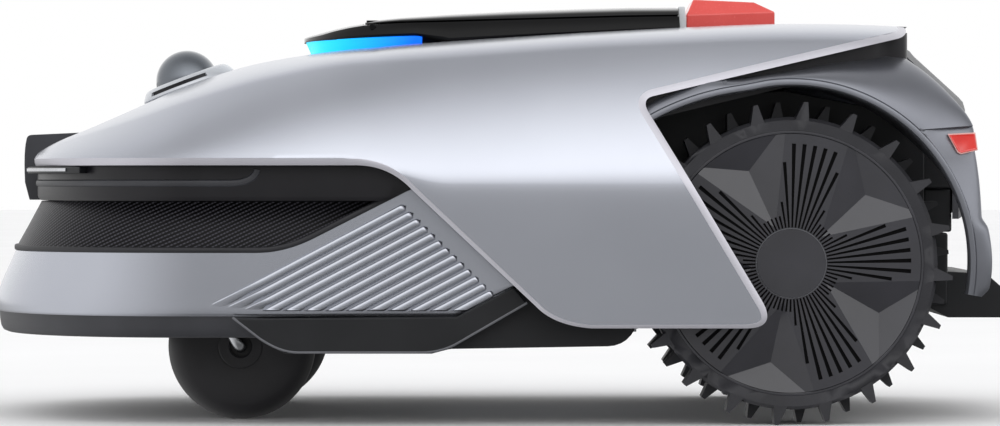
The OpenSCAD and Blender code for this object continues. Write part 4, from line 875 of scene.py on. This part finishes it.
def lid():
    """The cover with four ears for its hinge pin."""
    ears = []
    for y in (-58, -40, 40, 58):
        ears.append(turned(four_corners(2.05, 4.2, -4, 4), 32, at(-82, y, 250) @ tilt(-90, "X")))
        ears.append(box(-86.2, -77.8, y - 4, y + 4, 252.4, 254.6))
    return joined(ringed(60, lid_ring, lid_plan), *ears)


def console():
    hinge_slot = box(-88.6, -77, -66.5, 66.5, 243, 300)
    return carved(carved(ringed(96, console_ring, console_plan), console_well()), hinge_slot)


def light_strip():
    """The lit wall under the console's nose, a little behind its edge."""
    behind, lean = 1.2, 5.0

    def place(u, v):
        share = abs(2 * u - 1) * 0.5
        edge = console_plan(share, behind)[0]
        low, high = roof_z(edge) - ROOF_SINK, looked_up(edge, CONSOLE_LOW) + 0.2
        x, w = console_plan(share, behind + lean * (1 - v))
        return x, math.copysign(w, 0.5 - u), low + (high - low) * v
    return thickened(sheet(120, 4, place), 2.5)


piece(console(), "console_body", PIANO, "base", ["console"], sharp=35)
piece(lid(), "lid_cover", PIANO, "lid", ["lid"], sharp=35)
piece(light_strip(), "light_strip_guide", GUIDE, "base", ["light_strip"])
TRIM_OUTLINE = [(117.2, 244), (121, 244), (120, 263.4), (119.4, 264), (116.1, 264), (115.6, 263.4)]
piece(plate(TRIM_OUTLINE, -52, 52), "trim_bar_white", TRIM, "base", ["trim_bar"], bevel=0.5)


STOP_X, STOP_STEM_R = 150.5, 7.0


def stop_button():
    """A long block with a leaning facet all round and a top that falls to the rear."""
    bm = box(121.6, 179, -38, 38, 248, 259)
    top = [f for f in bm.faces if f.normal.z > 0.9]
    for v in top[0].verts:
        v.co.z += 2 * MM if v.co.x > STOP_X * MM else 0.0
    made = bmesh.ops.extrude_face_region(bm, geom=top)["geom"]
    for v in [g for g in made if isinstance(g, bmesh.types.BMVert)]:
        x, z, narrowing = (166.0, 267.6, 0.74) if v.co.x > STOP_X * MM else (126.2, 269.4, 0.8)
        v.co = x * MM, v.co.y * narrowing, z * MM
    bmesh.ops.delete(bm, geom=top, context="FACES_ONLY")
    bmesh.ops.recalc_face_normals(bm, faces=bm.faces)
    stem = turned([(0, 233), (STOP_STEM_R, 233), (STOP_STEM_R, 249), (0, 249)], 40, at(STOP_X, 0, 0))
    return joined(bm, stem)


piece(stop_button(), "stop_button_block", STOP, "stop", ["stop_button"], bevel=0.9)


# Lidar: ring on the hood and tinted dome
RING_PLACE = LIDAR_PLACE @ at(0, 0, -3.2)
RING_PROFILE = [(3.05, -8), (23.5, -8), (23.5, 0), (31, 0), (31.5, 0.5), (31.2, 1.6), (29, 5), (27.6, 6.3),
                (26.2, 6.9), (25, 7), (21.7, 7), (21.1, 6.6), (21.1, 0), (17, 0), (17, -2), (3.05, -2),
                (3.05, -8)]
DOME_R, DOME_WALL, DOME_Z = 20.5, 1.5, 1.0


def ring_arc(r0, r1, z0, z1):
    """A curved bar in the ring's wall between two angles from the side, and its twin on the other side."""
    corners = four_corners(r0, r1, z0, z1)
    first, last = -53, 30

    def place(u, v):
        r, z = along_polyline(corners, v)
        turn = math.radians(first + (last - first) * u)
        return r * math.sin(turn), -r * math.cos(turn), z
    bm = mirrored(closed(sheet(32, 4, place)))
    bmesh.ops.transform(bm, matrix=RING_PLACE, verts=bm.verts)
    return bm


def dome_arc(r):
    """A dome's side from under its middle up to its crown."""
    turns = [math.radians(a) for a in range(-14, 90, 4)]
    return [(r * math.cos(a), DOME_Z + r * math.sin(a)) for a in turns] + [(0, DOME_Z + r)]


def lidar_dome():
    outer = dome_arc(DOME_R)
    return turned(outer + dome_arc(DOME_R - DOME_WALL)[::-1] + outer[:1], 96, LIDAR_PLACE)


piece(carved(turned(RING_PROFILE, 96, RING_PLACE), ring_arc(28, 34, 2.2, 4.6)), "lidar_ring", RING, "base",
      ["lidar_base"], sharp=30)
piece(ring_arc(26, 28.4, 1.8, 5.0), "lidar_ring_slot", FASCIA_ABS, "base")
piece(lidar_dome(), "lidar_clear_dome", DOME, "base", ["lidar_dome"], sharp=60)


# Rear fenders: grained mouldings round the drive wheels, with a lip, a crest, a ledge and the lamp under it
# The tables go by the angle round the axle in degrees, from the rear over the top to the front
ARCH_R, FENDER_LIP, FENDER_BACK, FENDER_WALL = 109.4, 197.0, 115.0, 2.6
FENDER_REAR, FENDER_FRONT, FENDER_LEAST = -10, 141, 119.4
LIP_DROP = 1.6
FENDER_IN = [(-10, 183), (28, 183), (48, 128.3), (141, 128.3)]
ARCH_REACH = [(-10, ARCH_R), (96, ARCH_R), (104, ARCH_R), (112, 111.8), (123, 116.5), (134, 122.3),
              (141, 126)]
FENDER_REACH = [(-10, FENDER_LEAST), (-7, 123.4), (10, 123.8), (14, 121.5), (31, 133.3), (37, 141.5),
                (47, 144.5), (58, 147), (63, 148), (73, 136), (90, 121.5), (104, 120), (112, 122.5),
                (123, 127), (133, 133), (141, 137)]
FENDER_EDGE = [(-10, 5), (10, 7), (30, 9), (37, 13), (47, 25), (58, 41), (63, 58), (73, 54), (90, 45),
               (102, 34), (112, 9), (123, 7), (133, 7), (141, 7)]


def fender_section(a):
    """Reach from the axle and distance from the middle, from the liner round the lip to the rear edge."""
    reach = max(FENDER_LEAST, flowing(a, FENDER_REACH))
    edge = FENDER_LIP - flowing(a, FENDER_EDGE)
    arch = flowing(a, ARCH_REACH)
    deep = flowing(a, FENDER_IN)
    liner = [(arch, deep), (arch, 0.5 * (deep + 190)), (arch, 190)]
    lip = [(arch + out, FENDER_LIP - back)
           for out, back in ((0.2, 1.2), (1, 0.1), (3.4, 0), (4.2, 0.4), (4.6, 1.8))]
    start, face = arch + 5, FENDER_LIP - LIP_DROP
    span = reach - start
    side = [(start, face), (start + 0.4 * span, face - 0.09 * span),
            (reach - 0.04 * span, edge + 0.42 * (face - edge)), (reach, edge)]
    return liner + lip + [bezier(side, i / 30) for i in range(31)] + [(reach, max(edge - 14, FENDER_BACK))]


LEDGE_X, LEDGE_Z, LEDGE_RISE, LEDGE_EDGE, LEDGE_DEPTH = 270.0, 183.4, 0.08, 0.6, 3.6


def fender_ledge(x, z):
    """How far the face lies back under the ledge over the lamp."""
    under = ramp((LEDGE_Z + LEDGE_RISE * (x - LEDGE_X) - z) / LEDGE_EDGE)
    return LEDGE_DEPTH * under * ramp((x - 258) / 14) * ramp((z - 118) / 46)


def fender():
    """The moulding round one wheel, cut along the ledge's edge so that it stays crisp, and its front rib."""
    count = len(fender_section(0)) - 1

    def place(u, v):
        a = FENDER_FRONT + (FENDER_REAR - FENDER_FRONT) * u
        r, y = fender_section(a)[round(v * count)]
        return AXLE[0] + r * math.cos(math.radians(a)), -y, AXLE[1] + r * math.sin(math.radians(a))
    bm = sheet(160, count, place)
    for drop in (0.0, LEDGE_EDGE):
        near = [f for f in bm.faces if all(v.co.x > 256 * MM and v.co.z > 160 * MM for v in f.verts)]
        edges, verts = {e for f in near for e in f.edges}, {v for f in near for v in f.verts}
        bmesh.ops.bisect_plane(bm, geom=near + list(edges) + list(verts), dist=1e-7,
                               plane_no=(-LEDGE_RISE, 0, 1),
                               plane_co=(LEDGE_X * MM, 0, (LEDGE_Z - drop) * MM))
    for v in bm.verts:
        x, z = v.co.x / MM, v.co.z / MM
        if math.dist((x, z), AXLE) > ARCH_R + 4.9:
            v.co.y += fender_ledge(x, z) * MM
    front_rib = plate([(137.6, 204), (139.8, 204.6), (139.8, 213), (137.6, 212.5)], -194, -150)
    return joined(thickened(bm, FENDER_WALL), front_rib)


def under_wall():
    """The dark wall that shows between the hood's edge and the fender, turning inwards at its rear end."""
    first, turn_x = 88, 241
    corner = [bezier([(turn_x, 0), (255, 0), (255.6, 12)], i / 8) for i in range(1, 9)]
    path = [(first + (turn_x - first) * i / 30, 0) for i in range(31)] + corner + [(256, 40), (256.2, 66)]

    def place(u, v):
        x, back = path[round(u * (len(path) - 1))]
        edge = looked_up(x, [(first, 201), *SAIL, (257, 241.6)])
        low = min(222.0, edge - 14)
        straight = min(x, turn_x)
        side = hood_side(straight, HALF_WIDTH, looked_up(straight, [*SAIL[:2], (243, 238.3)]) + 5) - 4.2
        return x, back - side, low + (edge + 2.5 - low) * v
    return thickened(sheet(len(path) - 1, 2, place), 2.0)


LAMP_OUTLINE = [(277.4, 179.2), (293.2, 180), (294.6, 170.4), (285, 168.2), (283, 169.2)]
LAMP_MIDDLE = (286.6, 174)


def tail_lamp():
    """A glossy lens with a sunk face inside its rounded rim."""
    bm = plate(LAMP_OUTLINE, -176, -192.4)
    front = [f for f in bm.faces if f.normal.y < -0.9]
    bmesh.ops.inset_region(bm, faces=front, thickness=1.1 * MM, depth=-0.5 * MM)
    return bm


def lamp_rim():
    """The clear rim that shows round the lens: a thin plate with the lens's outline, a little larger."""
    x0, z0 = LAMP_MIDDLE
    outline = [(x0 + 1.1 * (x - x0), z0 + 1.15 * (z - z0)) for x, z in LAMP_OUTLINE]
    return plate(outline, -189.6, -190.9)


for side, sign in SIDES:
    piece(on_side(fender(), sign), f"rear_fender_{side}_shell", FENDER_ABS, "base",
          [f"rear_fender_{side}"], sharp=38)
    piece(on_side(under_wall(), sign), f"hood_under_wall_{side}", FASCIA_ABS, "base",
          sharp=40)
    piece(on_side(tail_lamp(), sign), f"tail_lamp_{side}", LAMP, "base", ["tail_lamps"],
          bevel=0.8)
    piece(on_side(lamp_rim(), sign), f"tail_lamp_rim_{side}", CLEAR_RIM, "base", bevel=0.4)


# Rear cover: one sheet over the tail that bows forward and down towards its sides, with walls behind it
COVER_OUT = [(257, 239), (264, 238.4), (268, 235.6), (271, 232), (285, 219.3), (300, 205.6), (302.6, 202.6),
             (304, 197.7), (303.6, 170), (303, 130)]
COVER_IN = [(299, 130), (299.6, 170), (300, 196), (296.6, 203), (265, 231), (262, 234.6), (257, 235.4)]
COVER_W, COVER_BOW, COVER_DROP = 114.6, 12.0, 3.2


def rear_cover():
    outline = COVER_OUT + COVER_IN + COVER_OUT[:1]

    def place(u, v):
        side = 2 * u - 1
        x, z = outline[round(v * (len(outline) - 1))]
        return x - COVER_BOW * side * side, COVER_W * side, z - COVER_DROP * side * side
    stay = plate([(262, 140.2), (291, 142), (291, 188), (262, 188)], 90, 94)
    return joined(closed(sheet(32, len(outline) - 1, place)), mirrored(stay))


def tail_wall():
    return joined(box(269, 284.6, -112, 112, 72, 118), box(269, 287, -112, 112, 118.5, 146))


def tail_side():
    return plate([(246, 146.5), (286, 146.5), (286, 196), (270, 214), (258, 224), (246, 226)], -118.4, -115.2)


piece(rear_cover(), "rear_cover_shell", COVER_ABS, "base", ["rear_cover"], sharp=34)
piece(tail_wall(), "tail_wall", DARK_ABS, "base", bevel=1.5)
piece(mirrored(tail_side()), "tail_sides", DARK_ABS, "base", bevel=0.8)


# Casters: smooth black wheels on bent rods
CASTER_X, CASTER_Y, CASTER_R = -164.0, 110.0, 46.4
SWIVEL_X, ROD_Y, ROD_TOP, ROD_R = -192.0, 136.0, 98.8, 4.0
STEM_R, STEM_TOP = 6.0, 133.0
CASTER_SIDE = [(4.05, 14.5), (6.9, 14.5), (6.9, 19.4), (7.5, 20), (13.4, 20), (13.8, 19.7), (13.8, 19.1),
               (14.4, 19.1), (14.4, 19.5), (15, 19.6), (30, 19.2), (36, 18.8), (39.5, 17.6), (42.4, 15.2),
               (44.6, 11.6), (45.8, 8), (CASTER_R, 6.4)]
CASTER_PROFILE = CASTER_SIDE + [(r, -y) for r, y in reversed(CASTER_SIDE)] + CASTER_SIDE[:1]


def rod(points, radius, bend):
    """A round bar along a line of points, with rounded bends and closed ends."""
    line = [Vector(points[0])]
    for p, q, r in zip(points, points[1:], points[2:]):
        p, q, r = Vector(p), Vector(q), Vector(r)
        ends = q + (p - q).normalized() * bend, q + (r - q).normalized() * bend
        line += [Vector(bezier([tuple(ends[0]), tuple(q), tuple(ends[1])], i / 8)) for i in range(9)]
    line.append(Vector(points[-1]))
    across = (line[1] - line[0]).orthogonal().normalized()
    rings = []
    for i, point in enumerate(line):
        ahead = (line[min(i + 1, len(line) - 1)] - line[max(i - 1, 0)]).normalized()
        across = (across - ahead * across.dot(ahead)).normalized()
        rings.append((point, across.copy(), ahead.cross(across)))

    def place(u, v):
        point, a, b = rings[round(u * (len(rings) - 1))]
        turn = math.tau * v
        return point + (a * math.cos(turn) + b * math.sin(turn)) * radius
    return closed(sheet(len(rings) - 1, 20, place))


def caster_strut(sign):
    """The swivel's stem, and the rod that runs out, down and back in through the wheel as its axle."""
    foot = ROD_TOP - ROD_R
    stem = turned([(0, foot), (STEM_R, foot), (STEM_R, STEM_TOP), (0, STEM_TOP)], 32,
                  at(SWIVEL_X, sign * CASTER_Y, 0))
    bar = rod([(SWIVEL_X, sign * CASTER_Y, ROD_TOP), (SWIVEL_X, sign * ROD_Y, ROD_TOP),
               (CASTER_X, sign * ROD_Y, CASTER_R), (CASTER_X, sign * (CASTER_Y - 18), CASTER_R)], ROD_R, 6.0)
    return joined(stem, bar)


for side, sign in SIDES:
    wheel = turned(CASTER_PROFILE, 96, at(CASTER_X, sign * CASTER_Y, CASTER_R) @ tilt(90, "X"))
    piece(wheel, f"caster_{side}_tyre", CASTER_TYRE, f"caster_roller_{side}",
          [f"caster_wheel_{side}"], sharp=35)
    piece(caster_strut(sign), f"caster_{side}_rod", ROD, f"caster_{side}",
          [f"caster_strut_{side}"], sharp=35)


# Drive wheels: slot floors of painted shade and a cap ring of painted highlight on the covers
SLOT_ARMS, SLOT_TURN, SLOT_START, SLOT_END, SLOT_GAP = 5, 6.5, 22.2, 74.0, 0.1
# Outer ends of the shorter slots, by their count from the middle of an arm
SLOT_ENDS = {0: SLOT_END, 1: SLOT_END, 2: SLOT_END, 3: 62.7, 4: 38.5}
SLOTS_BEFORE, SLOTS_AFTER = 4, 9


def slot_floors():
    """Near-black floors of painted shade in the slots that run out from the hub cap along five arms."""
    floors = []
    arm_step, slot_step = 360 / SLOT_ARMS, 360 / SLOT_ARMS / (SLOTS_BEFORE + SLOTS_AFTER + 1)
    for arm in range(SLOT_ARMS):
        for k in range(-SLOTS_BEFORE, SLOTS_AFTER + 1):
            end = SLOT_ENDS.get(abs(k), 30)
            turn = math.radians(SLOT_TURN + arm_step * arm + slot_step * k)
            c, s = math.cos(turn), math.sin(turn)
            near, far = SLOT_START + SLOT_GAP, end - SLOT_GAP
            wide = 0.5 + 0.75 * (end - SLOT_START) / (SLOT_END - SLOT_START)
            corners = [(near, -0.5), (near, 0.5), (far, wide), (far, -wide)]
            outline = [(AXLE[0] + r * c - w * s, AXLE[1] + r * s + w * c) for r, w in corners]
            floors.append(plate(outline, 1.1 - WHEEL_FACE, 2.9 - WHEEL_FACE))
    return joined(*floors)


def cap_ring():
    """A thin ring round the hub cap, bright grey as a painted highlight."""
    def place(u, v):
        turn, ring = math.tau * u, math.tau * v
        r = 21.5 + 0.35 * math.cos(ring)
        y = 0.2 - WHEEL_FACE - 0.3 * math.sin(ring)
        return AXLE[0] + r * math.cos(turn), y, AXLE[1] + r * math.sin(turn)
    return closed(sheet(96, 8, place))


for side, sign in SIDES:
    piece(on_side(cap_ring(), sign), f"wheel_cap_ring_{side}", LINE_HIGHLIGHT, f"drive_{side}",
          sharp=40)
    # Slot floors: painted shade that makes the slots read dark
    piece(on_side(slot_floors(), sign), f"wheel_slots_{side}", SHADE, f"drive_{side}",
          sharp=20)


# Construction parts that show as they are: each gets its material, and rounded edges where a width is given

def dressed(names, material, edge):
    for name in names:
        obj = NODES[name]
        obj.data.materials.clear()
        obj.data.materials.append(material)
        if not edge:
            continue
        weld = obj.modifiers.new("weld", "WELD")
        weld.merge_threshold = 0.001 * MM
        flat = obj.modifiers.new("flat", "DECIMATE")
        flat.decimate_type, flat.angle_limit = "DISSOLVE", math.radians(0.6)
        soften(obj, edge)


dressed(["drive_tyre_left", "drive_tyre_right"], TYRE, 0.7)
dressed(["wheel_cover_left", "wheel_cover_right"], WHEEL_ABS, 0)
dressed(["wheel_rim_left", "wheel_rim_right"], WHEEL_ABS, 0.4)
dressed(["rear_skid", "chassis", "inner_deck", "control_panel", "stop_switch"], DARK_ABS, 0.8)
dressed(["battery_pack"], FASCIA_ABS, 1.0)
dressed(["key_power", "key_start", "key_home"], KEY, 0.6)
dressed(["display_glass", "camera_lenses"], GLASS, 0.2)
dressed(["main_board"], BOARD, 0.1)
dressed(["lid_hinge_pin"], PIANO, 0.3)
dressed(["bumper_guides", "deck_rails", "drive_axle_left", "drive_axle_right"], ROD, 0.3)
dressed(["drive_motor_left", "drive_motor_right", "deck_carriage"], CASE, 0.6)
dressed(["cutting_head", "lidar_rotor"], FASCIA_ABS, 0.6)
dressed(["blade_disc"], DISC, 0.3)
dressed(["blade_1", "blade_2", "blade_3", "blade_screws"], STEEL, 0.15)
dressed(["caster_bushes"], BUSH, 0.4)


# Stage, light and camera
LIGHTS = [("top_softbox", (-0.3, -1.2, 2.8), (0, 0, 0.15), (4.0, 2.0), 10.0)]
# What mirrors show of the room: its brightness by degrees, from straight down past the viewer's horizon
# at 0 and the zenith at 90 to the far horizon at 180
ROOM = [(-90, 0.2), (-40, 0.14), (-14, 0.3), (0, 0.44), (8, 0.52), (14, 0.9), (20, 1.6), (27, 1.98),
        (33, 1.93), (42, 1.74), (52, 1.44), (62, 1.12), (73, 0.78), (84, 0.55), (98, 0.54), (120, 0.8),
        (150, 1.1), (180, 1.16)]
FILL = 1.0


def studio():
    """A pale sweep, a large soft light above the viewer's side and gentle fill from the room."""
    floor = sheet(1, 1, lambda a, b: ((a - 0.5) * 40000, (b - 0.5) * 40000, 0))
    ground = as_object(floor, "studio_floor")
    paper = grained("pale_studio_paper", "#F4F4F5", "#F8F8F9", (0.75, 0.85), 6.0, 0.01, 400)
    ground.data.materials.append(paper)
    ground.visible_glossy = False
    world = bpy.data.worlds.new("studio")
    bpy.context.scene.world = world
    world.use_nodes = True
    tree = world.node_tree
    tree.nodes.clear()
    rays = add(tree, "ShaderNodeLightPath").outputs
    view = add(tree, "ShaderNodeTexCoord").outputs["Generated"]
    way = add(tree, "ShaderNodeSeparateXYZ", {"Vector": view}).outputs
    toward = add(tree, "ShaderNodeMath", {0: way["Y"], 1: -1.0}, operation="MULTIPLY")
    turn = add(tree, "ShaderNodeMath", {0: way["Z"], 1: toward.outputs[0]}, operation="ARCTAN2")
    first, last = ROOM[0][0], ROOM[-1][0]
    share = add(tree, "ShaderNodeMapRange",
                {"Value": turn.outputs[0], "From Min": math.radians(first), "From Max": math.radians(last)})
    room = add(tree, "ShaderNodeValToRGB", {"Fac": share.outputs[0]})
    stops = room.color_ramp.elements
    while len(stops) < len(ROOM):
        stops.new(0.5)
    for stop, (degrees, light) in zip(stops, ROOM):
        stop.position = (degrees - first) / (last - first)
        stop.color = (light / 2, light / 2, light / 2, 1)
    mirrored_room = add(tree, "ShaderNodeMath", {0: room.outputs[0], 1: 2.0}, operation="MULTIPLY")
    plain = add(tree, "ShaderNodeMapRange", {"Value": rays["Is Camera Ray"], "To Min": FILL, "To Max": 1.0})
    aside = add(tree, "ShaderNodeMapRange", {"Value": way["X"], "From Min": -0.05, "From Max": -0.95})
    reflected = add(tree, "ShaderNodeMix", {0: aside.outputs[0], 2: mirrored_room.outputs[0], 3: 0.95})
    strength = add(tree, "ShaderNodeMix",
                   {0: rays["Is Glossy Ray"], 2: plain.outputs[0], 3: reflected.outputs[0]})
    sky = add(tree, "ShaderNodeBackground", {"Color": linear("#FFFFFF"), "Strength": strength.outputs[0]})
    add(tree, "ShaderNodeOutputWorld", {"Surface": sky.outputs[0]})
    for name, place, aim, size, power in LIGHTS:
        lamp = bpy.data.lights.new(name, "AREA")
        lamp.shape = "RECTANGLE"
        lamp.size, lamp.size_y = size
        lamp.energy = power
        obj = bpy.data.objects.new(name, lamp)
        bpy.context.scene.collection.objects.link(obj)
        obj.location = place
        obj.visible_glossy = False
        obj.rotation_euler = (Vector(aim) - Vector(place)).to_track_quat("-Z", "Y").to_euler()


def photo_camera():
    """A level view of the left side from three metres, with the horizon a little above the middle."""
    distance, eye, frame_width, drop = 3.0, 0.1515, 0.66, 0.0218
    data = bpy.data.cameras.new("view")
    data.sensor_width = 36
    data.lens = data.sensor_width * distance / frame_width
    camera = bpy.data.objects.new("view", data)
    bpy.context.scene.collection.objects.link(camera)
    camera.location = (0, -distance, eye)
    aim = Vector((0, 0, eye - drop)) - camera.location
    camera.rotation_euler = aim.to_track_quat("-Z", "Y").to_euler()
    bpy.context.scene.camera = camera


studio()
photo_camera()
bpy.context.scene.view_settings.view_transform = "Standard"
